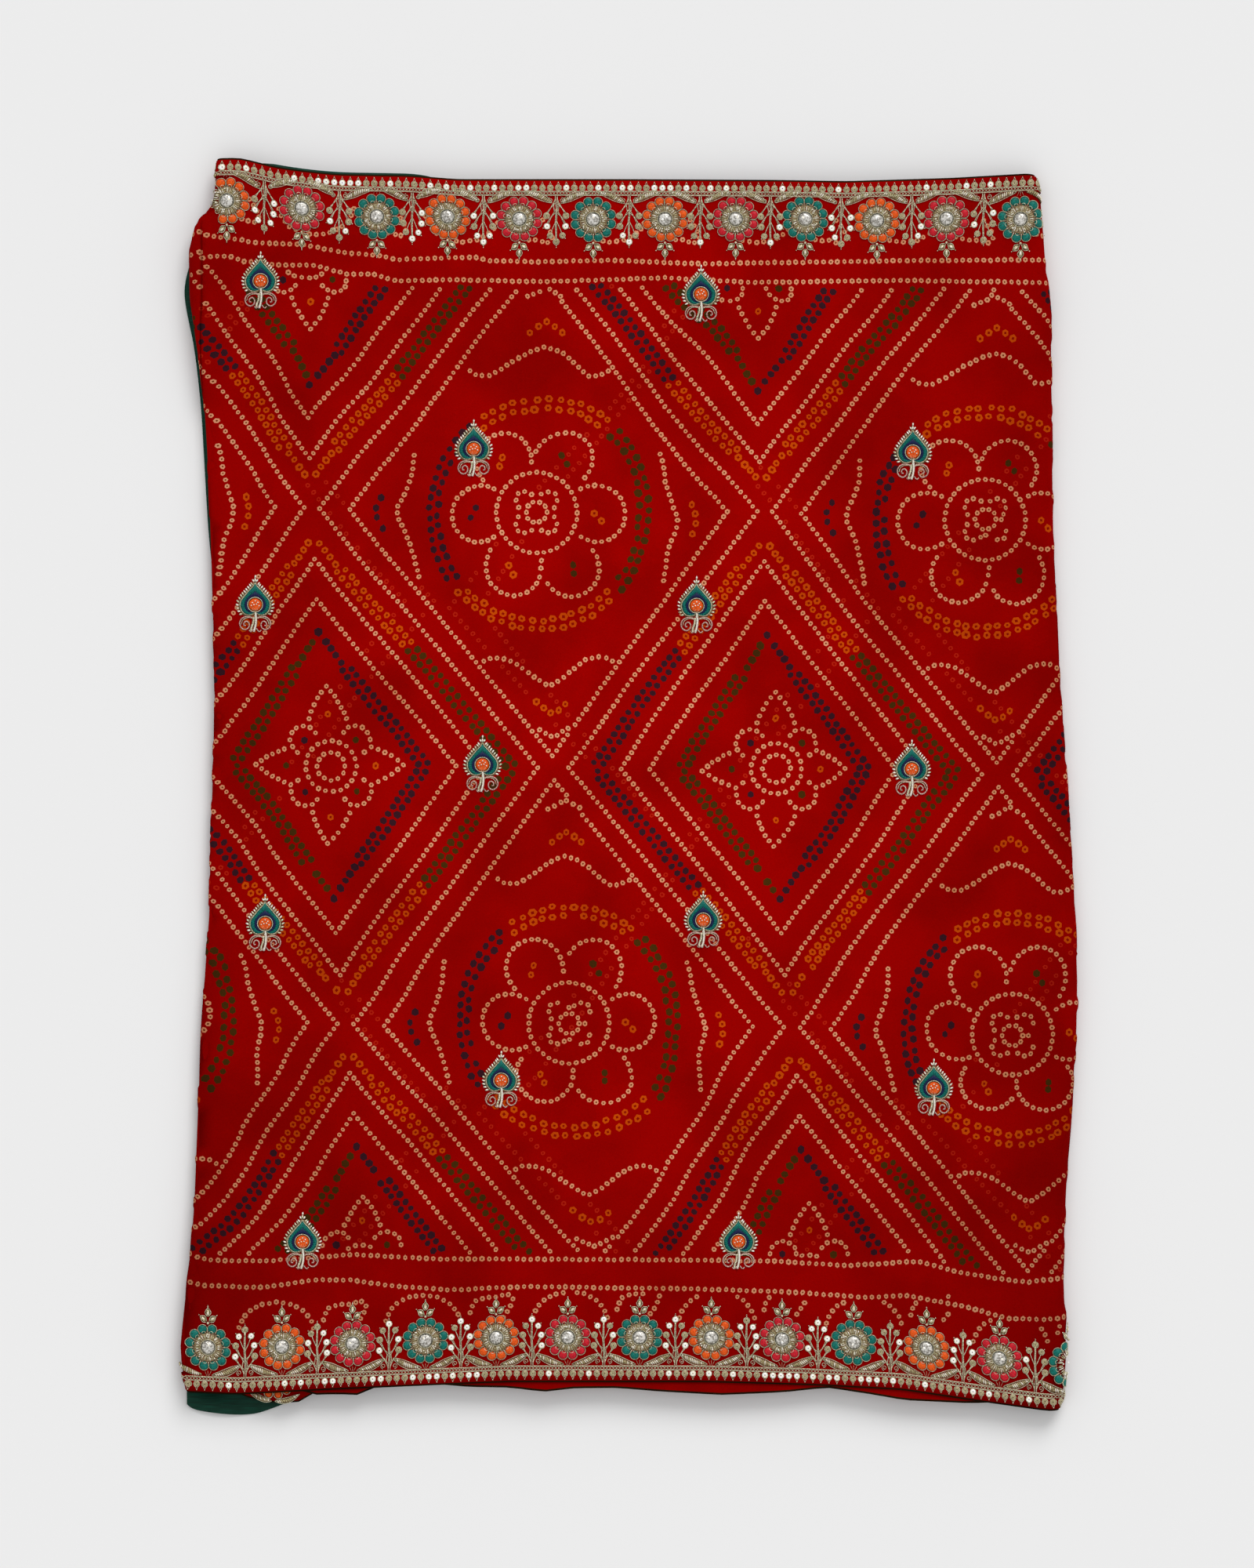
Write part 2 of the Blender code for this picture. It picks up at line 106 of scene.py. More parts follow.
# The plies from the bottom up: the gap below, how far the edges are tucked in, how they wander, and
# how many columns the mesh has.
Ply = namedtuple("Ply", "number gap_below upper_tuck lower_tuck wave wavelength columns")
PLIES = (
    Ply(1, "floor", 3.0, 2.0, 0.0, 300, 3),
    Ply(2, "back", 4.0, 4.0, 1.2, 260, 14),
    Ply(3, "face", 6.5, 5.0, 1.5, 310, 14),
    Ply(4, "back", 5.0, 6.0, 1.5, 270, 14),
    Ply(5, "face", 3.5, 4.0, 1.2, 340, 14),
    Ply(6, "back", 4.5, 0.0, 1.5, 290, 50),
    Ply(7, "face", 2.5, 0.0, 1.0, 330, 64),
    Ply(8, "back", 0.0, 0.0, 0.0, 300, 90),
)
Fold = namedtuple("Fold", "side first second tuck sway arc_points")
FOLDS = (
    Fold("right", 1, 8, 0.0, 0.0, 11),
    Fold("left", 8, 5, 0.0, 0.0, 11),
    Fold("right", 5, 4, 9.0, 1.6, 5),
    Fold("left", 4, 3, 4.5, 1.5, 5),
    Fold("right", 3, 6, 6.0, 1.4, 5),
    Fold("left", 6, 7, 3.0, 1.2, 5),
    Fold("right", 7, 2, 2.5, 1.0, 7),
)
SWAY_LENGTH = 55.0
SEAM_TAIL = 45.0
FREE_END_TUCK = 6.0
FREE_END_SWAY = 2.0

# Broad billows of the top ply between its borders. Columns: middle x, y, half length x, y, height.
BILLOWS = (
    (-150, 250, 140, 150, 1.6),
    (180, 110, 150, 170, 1.8),
    (-130, -150, 150, 130, 1.5),
    (210, -230, 140, 140, 1.6),
)

# Soft creases pressed in when the cloth was put away. Columns: from x, y to x, y, half width,
# height. Each bends a little from side to side, and fades out past its ends.
CREASES = (
    (-352, 330, -366, -60, 16, 0.9),
    (-60, 470, -20, 180, 20, 1.0),
    (40, 60, 70, -320, 22, 1.1),
    (250, 420, 220, 150, 22, 0.9),
    (330, 90, 352, -260, 20, 1.0),
    (-240, 120, -215, -200, 20, 0.9),
    (-300, -300, -180, -420, 24, 1.0),
    (150, -380, 330, -460, 22, 1.1),
    (-150, -430, 60, -455, 20, 0.8),
    (-260, 430, -60, 405, 20, 0.7),
    (120, 490, 330, 470, 16, 0.6),
)
CREASE_BEND, CREASE_BEND_LENGTH = 6.0, 70.0
CREASE_FADE = 2.5


def drawn(table, softness=5.0):
    """A soft line through a table's rows, as a function of the first column."""
    places, values = np.array(table, float).T
    reach = int(4 * softness)
    fine = np.arange(places[0] - 60.0, places[-1] + 60.0, 1.0)
    weights = np.exp(-0.5 * (np.arange(-reach, reach + 1) / softness) ** 2)
    held = np.pad(np.interp(fine, places, values), reach, mode="edge")
    soft = np.convolve(held, weights / weights.sum(), mode="valid")
    return lambda place: np.interp(place, fine, soft)


upper_edge = drawn(UPPER_EDGE)
lower_edge = drawn(LOWER_EDGE)
left_edge = drawn(LEFT_EDGE, softness=3.0)
right_edge = drawn(RIGHT_EDGE, softness=3.0)
left_roll = drawn(LEFT_ROLL, softness=3.0)
own_lower_edges = {
    6: drawn(SIXTH_LOWER_EDGE, softness=3.0), 7: drawn(SEVENTH_LOWER_EDGE, softness=3.0),
}


def border_weight(share):
    """1 where the borders make the stack thick, 0 where it has settled thin."""
    distance = np.minimum(share, 1 - share) * WIDTH
    fade = np.clip((distance - BORDER_ZONE) / (THIN_FROM - BORDER_ZONE), 0, 1)
    return 1 - fade * fade * (3 - 2 * fade)


def ply_middle(number, weight):
    """Height of a ply's middle above the floor."""
    gaps = {
        "floor": (TRIM + SEWN_GAP) * weight,
        "back": CLOTH + BACK_GAP,
        "face": CLOTH + FACE_GAP + (BORDER_FACE_GAP - FACE_GAP) * weight,
    }
    return CLOTH / 2 + sum(gaps[ply.gap_below] for ply in PLIES[:number])


def top_relief(x, y, weight):
    """How far the top ply lifts off the one below it, in billows and creases."""
    lift = np.zeros(np.broadcast(x, y).shape)
    for middle_x, middle_y, length_x, length_y, height in BILLOWS:
        across, up = (x - middle_x) / length_x, (y - middle_y) / length_y
        lift += height * np.exp(-(across**2) - up**2)
    lift = lift * (1 - weight)
    for from_x, from_y, to_x, to_y, half_width, height in CREASES:
        run = math.hypot(to_x - from_x, to_y - from_y)
        along_x, along_y = (to_x - from_x) / run, (to_y - from_y) / run
        along = (x - from_x) * along_x + (y - from_y) * along_y
        beside = (y - from_y) * along_x - (x - from_x) * along_y
        beside = beside + CREASE_BEND * np.sin(along / CREASE_BEND_LENGTH)
        past = np.maximum(0, np.maximum(-along, along - run)) / (CREASE_FADE * half_width)
        lift += height * np.exp(-((beside / half_width) ** 2) - past**2)
    return lift


def ply_edges(ply, x):
    """The lower and the upper edge of a ply at x."""
    wave = ply.wave * np.sin(math.tau * x / ply.wavelength + ply.number)
    if ply.number in own_lower_edges:
        lower = own_lower_edges[ply.number](x)
    else:
        lower = lower_edge(x) + ply.lower_tuck + wave
    return lower, upper_edge(x) - ply.upper_tuck - wave


def side_y(table_x, share):
    """How far up the cloth a share is at the left or the right side of the top ply."""
    lower, upper = ply_edges(PLIES[-1], table_x)
    return lower + (upper - lower) * share


def fold_shape(fold, share):
    """Where a fold begins, how far it reaches past that, and half its height."""
    weight = border_weight(share)
    half_height = abs(ply_middle(fold.first, weight) - ply_middle(fold.second, weight)) / 2
    sway = fold.sway * np.sin(share * WIDTH / SWAY_LENGTH + fold.first)
    trimmed = CLOTH / 2 + (TRIM + SEWN_GAP) * weight
    if fold.side == "right":
        outer_half = (ply_middle(8, weight) - ply_middle(1, weight)) / 2
        begin = right_edge(side_y(RIGHT_EDGE[0][1], share)) - trimmed - outer_half
        return begin - fold.tuck - sway, half_height, half_height
    y = side_y(LEFT_EDGE[0][1], share)
    roll = left_roll(y)
    begin = left_edge(y) + trimmed + roll
    if fold.tuck:
        return begin + fold.tuck + sway, half_height, half_height
    return begin, roll, half_height


def ply_ends(number, share):
    """The x at which the flat part of a ply begins and ends."""
    ends = {}
    for fold in FOLDS:
        if number in (fold.first, fold.second):
            ends[fold.side] = fold_shape(fold, share)[0]
    if number == 1:
        ends["left"] = ends["right"] - SEAM_TAIL
    if "left" not in ends:
        y = side_y(LEFT_EDGE[0][1], share)
        ends["left"] = left_edge(y) + FREE_END_TUCK + FREE_END_SWAY * np.sin(y / SWAY_LENGTH)
    return ends["left"], ends["right"]


def ply_columns(ply, share, leftwards):
    """The middle of one ply, a column at a time in the order in which the cloth runs."""
    left, right = ply_ends(ply.number, share)
    weight = border_weight(share)
    flat = np.zeros(share.shape)
    columns = []
    for step in np.linspace(0, 1, ply.columns):
        x = left + (right - left) * step
        lower, upper = ply_edges(ply, x)
        y = lower + (upper - lower) * share
        z = ply_middle(ply.number, weight)
        if ply.number == 8:
            z = z + top_relief(x, y, weight)
        columns.append(np.stack([x, y, z, flat, flat + (1 if leftwards else -1)]))
    return columns[::-1] if leftwards else columns


def fold_columns(fold, share, start, end):
    """The columns round a fold, between the last of one ply and the first of the next."""
    _, reach, _ = fold_shape(fold, share)
    side = 1.0 if fold.side == "right" else -1.0
    half_height = (start[2] - end[2]) / 2
    outward = np.where((start[4] > 0) == (start[2] > end[2]), 1.0, -1.0)
    columns = []
    for step in range(1, fold.arc_points + 1):
        angle = math.pi * step / (fold.arc_points + 1)
        turned = (1 - math.cos(angle)) / 2
        x = start[0] + (end[0] - start[0]) * turned + side * reach * math.sin(angle)
        y = start[1] + (end[1] - start[1]) * turned
        z = (start[2] + end[2]) / 2 + half_height * math.cos(angle)
        normal_x = side * math.sin(angle) / reach
        normal_z = math.cos(angle) / half_height
        length = np.hypot(normal_x, normal_z)
        columns.append(np.stack([
            x, y, z, outward * normal_x / length, outward * normal_z / length,
        ]))
    return columns


def cloth_columns(share):
    """All columns of the cloth, and the first and last of the top ply with its two folds."""
    columns = ply_columns(PLIES[0], share, leftwards=False)
    first = len(columns) - 1
    for fold in FOLDS:
        following = ply_columns(PLIES[fold.second - 1], share, leftwards=fold.side == "right")
        columns += fold_columns(fold, share, columns[-1], following[0])
        if fold.first == 8:
            last = len(columns)
        columns += following
    return np.stack(columns, axis=1), first, last


def half_ellipse(across, up):
    """The length of half an ellipse with these half axes."""
    return math.pi * (3 * (across + up) - np.sqrt((3 * across + up) * (across + 3 * up))) / 2


def top_span(share, part=1.0):
    """Where the top ply begins and ends along the cloth, with a part of its two outer folds."""
    left, left_reach, left_half = fold_shape(FOLDS[1], share)
    right, right_reach, right_half = fold_shape(FOLDS[0], share)
    return (
        left - half_ellipse(left_reach, left_half) * part,
        right + half_ellipse(right_reach, right_half) * part,
    )


def top_v(u, share):
    """How far up the cloth a share is, at a place along the top ply or its folds."""
    left, right = fold_shape(FOLDS[1], share)[0], fold_shape(FOLDS[0], share)[0]
    lower, upper = ply_edges(PLIES[-1], np.clip(u, left, right))
    return lower + (upper - lower) * share


def top_share(u, v):
    """The share of the way up the top ply at which a place lies."""
    lower, upper = ply_edges(PLIES[-1], np.clip(u, -400, 400))
    return (v - lower) / (upper - lower)


# The top left corner is rolled under, with a deep tuck between a swollen roll and a soft lip. Each
# side of the tuck is a bank: the width of its wall, its height, its level top and its slope.
ROLL_CREASE = -385.0
ROLL_MIDDLE = 432.0
ROLL_LENGTH = 66.0
ROLL_FADE = 13.0
ROLL_BANK = (1.0, 5.2, 5.5, 6.0)
LIP_BANK = (0.8, 3.4, 1.5, 7.0)


def bank(out, wall, height, top, slope):
    """How high one side of the tuck is, so far out from its middle."""
    return height * np.clip(out / wall, 0, 1) * np.exp(-((np.maximum(0, out - top) / slope) ** 2))


def corner_roll(u, v):
    """How far the rolled corner stands up."""
    past = np.maximum(0, np.abs(v - ROLL_MIDDLE) - ROLL_LENGTH) / ROLL_FADE
    beside = u - ROLL_CREASE
    return (bank(-beside, *ROLL_BANK) + bank(beside, *LIP_BANK)) * np.exp(-(past**2))


def on_top(u, v, lift):
    """Points over the top ply and its two outer folds. u runs along the cloth, v up it."""
    u, v = np.asarray(u, float), np.asarray(v, float)
    right_fold, left_fold = FOLDS[0], FOLDS[1]
    share = np.full(u.shape, 0.5)
    for _ in range(5):
        left, left_reach, left_half = fold_shape(left_fold, share)
        right, right_reach, right_half = fold_shape(right_fold, share)
        flat_x = np.clip(u, left, right)
        lower, upper = ply_edges(PLIES[-1], flat_x)
        share = (v - lower) / (upper - lower)
    weight = border_weight(share)
    top_z = ply_middle(8, weight) + top_relief(flat_x, v, weight)
    x, y, z = flat_x.copy(), v.copy(), top_z.copy()
    normal_x, normal_z = np.zeros(u.shape), np.ones(u.shape)
    for side, past, reach, half, ply in (
        (1, u - right, right_reach, right_half, PLIES[0]),
        (-1, left - u, left_reach, left_half, PLIES[4]),
    ):
        angle = np.clip(math.pi * past / half_ellipse(reach, half), 0, math.pi)
        turned = (1 - np.cos(angle)) / 2
        lower, upper = ply_edges(ply, flat_x)
        under_y = lower + (upper - lower) * share
        under_z = ply_middle(ply.number, weight)
        round_it = past > 0
        x = np.where(round_it, flat_x + side * reach * np.sin(angle), x)
        y = np.where(round_it, v + (under_y - v) * turned, y)
        z = np.where(round_it, (top_z + under_z) / 2 + (top_z - under_z) / 2 * np.cos(angle), z)
        across = side * np.sin(angle) / reach
        over = np.cos(angle) / ((top_z - under_z) / 2)
        length = np.hypot(across, over)
        normal_x = np.where(round_it, across / length, normal_x)
        normal_z = np.where(round_it, over / length, normal_z)
    z = z + corner_roll(u, v)
    out = CLOTH / 2 + np.asarray(lift)
    return np.stack([x + normal_x * out, y, z + normal_z * out], axis=-1)


# The CAD part is centred on its footprint, so its first buti shows how far it was moved.
BUTIS = (
    (-334, 458), (65, 446), (-141, 306), (257, 303), (-339, 165), (61, 164), (-133, 20),
    (256, 16), (-330, -124), (67, -121), (-116, -266), (276, -273), (-296, -412), (99, -412),
)
BUTI_BOX_MIDDLE = -0.25
buti_low, buti_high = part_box("buti_01")
centring = np.array([
    (buti_low[0] + buti_high[0]) / 2 / MM - BUTIS[0][0],
    (buti_low[1] + buti_high[1]) / 2 / MM - BUTIS[0][1] - BUTI_BOX_MIDDLE,
    0.0,
])


def make_mesh(name, points, faces, finishes, kinds):
    """A mesh object from points in millimetres, with a finish for each face."""
    points = np.asarray(points)
    used = np.zeros(len(points), dtype=bool)
    for face in faces:
        used[list(face)] = True
    renumbered = (np.cumsum(used) - 1).tolist()
    faces = [[renumbered[index] for index in face] for face in faces]
    mesh = bpy.data.meshes.new(name)
    mesh.from_pydata(((points[used] + centring) * MM).tolist(), [], faces)
    for finish in finishes:
        mesh.materials.append(finish)
    mesh.polygons.foreach_set("material_index", kinds)
    mesh.polygons.foreach_set("use_smooth", np.ones(len(faces), dtype=bool))
    mesh.update()
    made = bpy.data.objects.new(name, mesh)
    bpy.context.scene.collection.objects.link(made)
    return made


# The bandhani print. It is one repeat of a rosette and a star in diamonds, set out with a chalked
# thread and tied by hand, so its lines lean and wander a little.
ROSETTE = (-81.7, 245.7)
ACROSS = (402.6, -6.4)
DOWN = (27.0, -458.0)
REPEATS = [(across, down) for down in range(-1, 3) for across in range(-2, 3)]
LINE_PITCH = 5.8
CURVE_PITCH = 6.3
BAND_PITCH = 7.9
PETAL_LOOP = 25.5
TWO_DOT_PITCH = 9.3
ROW_ROOM = 5.5
FOLD_ROOM = 5.0
USUAL_DOT = 5.3
HAND_SHAKE = 0.3
CELL = 8
Dot = namedtuple("Dot", "x y size turn dye")
dots = []
near_dots = {}
tying = random.Random(11)

# The dotted rows along each border. Columns: x, y.
ROWS = {
    "upper_outer": (
        (-402, 497), (-381, 499), (-360, 496), (-335, 492), (-297, 491), (-275, 486.5), (-254, 483),
        (-223, 480), (-209, 476.5), (-192, 478), (-139, 479), (-127, 476), (-79, 475),
        (-13, 476.5), (65, 473), (112, 474), (250, 476), (400, 477),
    ),
    "upper_inner": (
        (-402, 468), (-383, 479.5), (-363, 480.5), (-350, 475.5), (-314, 472), (-286, 472),
        (-255, 464), (-232, 464), (-209, 457.5), (-165, 459), (-131, 458), (-79, 457), (-13, 459),
        (33, 460.5), (108, 456.5), (250, 458), (400, 456),
    ),
    "lower_inner": (
        (-410, -420), (-382, -429), (-330, -430), (-250, -424), (-175, -428), (-105, -428),
        (60, -429), (130, -430), (200, -434), (262, -430), (300, -440), (335, -446), (362, -449),
        (410, -443),
    ),
    "lower_outer": (
        (-410, -446), (-385, -452), (-330, -454), (-285, -447), (-253, -447), (-210, -453),
        (-160, -456), (-90, -453), (60, -455), (150, -458), (215, -463), (250, -461), (300, -470),
        (345, -482), (380, -483), (410, -478),
    ),
}
upper_row = drawn(ROWS["upper_inner"], softness=6.0)
lower_row = drawn(ROWS["lower_inner"], softness=6.0)


# How the chalked lines wander from the regular repeat, judged one by one. Columns: a place in the
# regular repeat, and how far to the right of it and above it the cloth has it.
WANDER = np.array((
    (-387, 452, 21, 4), (-365, 398, 12, 6), (-366, 340, 11, 5), (-362, 305, 4, 4),
    (-296, 406, 10, 9), (-288, 327, -3, 8), (-286, 291, -4, 7), (-290, 249, -6, 5),
    (-263, 249, -2, 2), (-199, 454, 9, 5), (-243, 391, 4, 5), (-152, 405, 2, 3),
    (-95, 464, 11, 8), (-47, 405, 12, 4), (-19, 371, 8, 3), (25, 318, 3, 3), (-82, 246, -2, 3),
    (106, 400, 14, 6), (113, 353, 3, 8), (117, 285, 1, 11), (126, 242, 6, 7), (175, 242, 4, 4),
    (218, 449, 10, 4), (290, 452, 9, 5), (190, 373, 2, 3), (318, 452, 14, 6), (350, 410, 19, 5),
    (321, 239, 3, 3), (122, 200, 0, 3), (124, 164, -1, 3), (133, 13, 1, 3), (50, 76, -4, 0),
    (240, 15, -4, 4), (140, -105, -3, 6), (144, -165, -4, 5), (142, -138, -4, 4),
    (205, -103, -4, 0), (-280, 206, -4, -3), (-278, 155, -5, -1), (-270, 91, -5, -1),
    (-270, 20, 0, -2), (-376, 30, -4, 0), (-300, -103, -7, 0), (-262, -98, -4, 0),
    (-260, -140, -5, -3), (-157, 17, 0, 0), (-263, -209, -3, -5), (-289, -209, -2, -6),
    (-236, -209, 3, -9), (-55, -212, 1, -3), (126, -215, -3, -3), (153, -216, 5, -4),
    (185, -217, 4, -5), (348, -219, 0, -8), (-253, -268, 2, -11), (-250, -320, 3, -10),
    (-317, -283, 9, -4), (-380, -352, 19, -4), (-310, -352, 10, -6), (-188, -350, 1, -3),
    (-88, -387, 2, -3), (-10, -387, 17, -4), (13, -387, 19, -4), (72, -387, 13, -5),
    (43, -313, 10, -4), (150, -275, 5, -6), (153, -326, 3, -6), (160, -373, 4, -5),
    (250, -401, 4, -4), (320, -401, -1, -3), (-45, -367, 7, -3), (358, -372, 7, -3),
), float)
WANDER_REACH = 36.0
WANDER_HOLD = 0.12

# The print doesn't run on across the tuck. The rolled corner has rows and marks of its own.
ROLL_FROM = 400.0
ROLL_TO = 520.0
ROLL_ROWS = (
    ((-400, 498.5), (-386.3, 502.3)), ((-400, 479.8), (-386.3, 483.6)),
    ((-401, 461), (-386.3, 465.5)), ((-390, 457), (-386.3, 452)),
)
ROLL_MARKS = ((-391.3, 424.7), (-397.5, 433), (-392.6, 416.6), (-399, 419))

# Left of the first buti the green band was left off.
UNDYED_TO, UNDYED_FROM = -335.0, 448.0


def wandered(places):
    """Where places of the regular repeat lie on this cloth."""
    apart = places[:, None, :] - WANDER[None, :, :2]
    nearness = np.exp(-(apart**2).sum(axis=2) / WANDER_REACH**2)
    return places + nearness @ WANDER[:, 2:] / (nearness.sum(axis=1, keepdims=True) + WANDER_HOLD)


def spaced(points, pitch, wander=True):
    """Places a pitch apart on the line through some points, each with its direction."""
    places = np.array(points, float)
    fine = np.concatenate([
        *(np.linspace(here, there, 16, endpoint=False) for here, there in zip(places, places[1:])),
        places[-1:],
    ])
    if wander:
        fine = wandered(fine)
    runs = np.concatenate([[0], np.cumsum(np.hypot(*np.diff(fine, axis=0).T))])
    distances = np.linspace(0, runs[-1], max(1, round(runs[-1] / pitch)) + 1)
    x, y = (np.interp(distances, runs, line) for line in fine.T)
    return np.column_stack([x, y, np.arctan2(np.gradient(y), np.gradient(x))]).tolist()


def dots_near(x, y):
    """The dots already tied in the cells round a place."""
    column, row = int(x // CELL), int(y // CELL)
    for near_column in (column - 1, column, column + 1):
        for near_row in (row - 1, row, row + 1):
            yield from near_dots.get((near_column, near_row), ())


def tie(x, y, dye="cream", size=5.0, turn=0.0, room=5.2, cut=True, wander=True, rolled=False):
    """Ties one dot, if there is room for it between the rows that cut the pattern off."""
    if cut and wander:
        x, y = wandered(np.array([(x, y)]))[0].tolist()
    x += tying.uniform(-HAND_SHAKE, HAND_SHAKE)
    y += tying.uniform(-HAND_SHAKE, HAND_SHAKE)
    if cut and not lower_row(x) + ROW_ROOM < y < upper_row(x) - ROW_ROOM:
        return
    if (x < ROLL_CREASE and ROLL_FROM < y < ROLL_TO) != rolled:
        return
    if dye == "green" and x < UNDYED_TO and y > UNDYED_FROM:
        return
    share = top_share(x, y)
    if not 0.02 < share < 0.98:
        return
    first, last = top_span(share)
    if not first + FOLD_ROOM < x < last - FOLD_ROOM:
        return
    for other in dots_near(x, y):
        apart = room + (other.size + size) / 2 - USUAL_DOT
        if (other.x - x) ** 2 + (other.y - y) ** 2 < apart * apart:
            return
    dot = Dot(
        x, y, size * tying.uniform(0.9, 1.08), turn + tying.uniform(-HAND_SHAKE, HAND_SHAKE), dye)
    dots.append(dot)
    near_dots.setdefault((int(x // CELL), int(y // CELL)), []).append(dot)


def tie_line(points, pitch=LINE_PITCH, size=4.7, **look):
    """A row of dots along a line, with a dot at each of its corners."""
    for ends in zip(points, points[1:]):
        for x, y, turn in spaced(ends, pitch):
            tie(x, y, turn=turn, size=size, wander=False, **look)


def tie_curve(points, cut=True, **look):
    """A row of dots along a soft curve through a few points."""
    for x, y, turn in spaced(points, CURVE_PITCH, wander=cut):
        tie(x, y, turn=turn, cut=cut, wander=False, **look)


def tie_ring(middle, radius, count, start=0.0, sweep=math.tau, **look):
    """Dots on a circle or on part of one."""
    for step in range(count):
        angle = start + sweep * step / (count if sweep >= math.tau else count - 1)
        tie(
            middle[0] + radius * math.cos(angle), middle[1] + radius * math.sin(angle),
            turn=angle, **look,
        )


def in_repeat(across, down, middle=ROSETTE):
    """A point of the repeat, in steps across and down it."""
    return (
        middle[0] + across * ACROSS[0] + down * DOWN[0],
        middle[1] + across * ACROSS[1] + down * DOWN[1],
    )


def tie_band(points, dye, size, single_run=0):
    """A band two dots wide, which starts with a single row as long as single_run."""
    for number, (x, y, turn) in enumerate(spaced(points, BAND_PITCH)):
        single = number * BAND_PITCH < single_run
        for side in ((0,) if single else (-1, 1)):
            beside = side * (3.7 + tying.uniform(-0.4, 0.4))
            slip = side * 1.9 + tying.uniform(-0.6, 0.6)
            tie(
                x - math.sin(turn) * beside + math.cos(turn) * slip,
                y + math.cos(turn) * beside + math.sin(turn) * slip,
                dye=dye, size=size * (1.12 if single else 1.0) * tying.uniform(0.92, 1.08),
                turn=turn, room=4.4, wander=False,
            )


def tie_star(middle):
    """The star: a ring, a wider ring with four round loops, and four pointed leaves."""
    def at(x, y):
        return middle[0] + x, middle[1] + y

    tie_ring(middle, 12.6, 12)
    tie_ring(middle, 22.9, 21)
    for turn in range(4):
        quarter = turn * math.pi / 2
        tip = 71.5 if turn % 2 else 65.5
        for side in (-1, 1):
            leaf = []
            for along, beside in ((tip, 0), (tip - 9, 7.5), (tip - 20, 13.5), (tip - 29, 17)):
                leaf.append(at(
                    along * math.cos(quarter) - side * beside * math.sin(quarter),
                    along * math.sin(quarter) + side * beside * math.cos(quarter),
                ))
            tie_curve(leaf)
        diagonal = quarter + math.pi / 4
        loop = at(33 * math.cos(diagonal), 33 * math.sin(diagonal))
        tie_ring(loop, 12.8, 10, start=diagonal - 2.3, sweep=4.6)
        tie(*loop, dye=("green", "blue", "blue", "green")[turn], size=7.2)
        bright = at((tip - 25) * math.cos(quarter), (tip - 25) * math.sin(quarter))
        tie(*bright, dye="green" if turn == 2 else "orange", size=7.0)


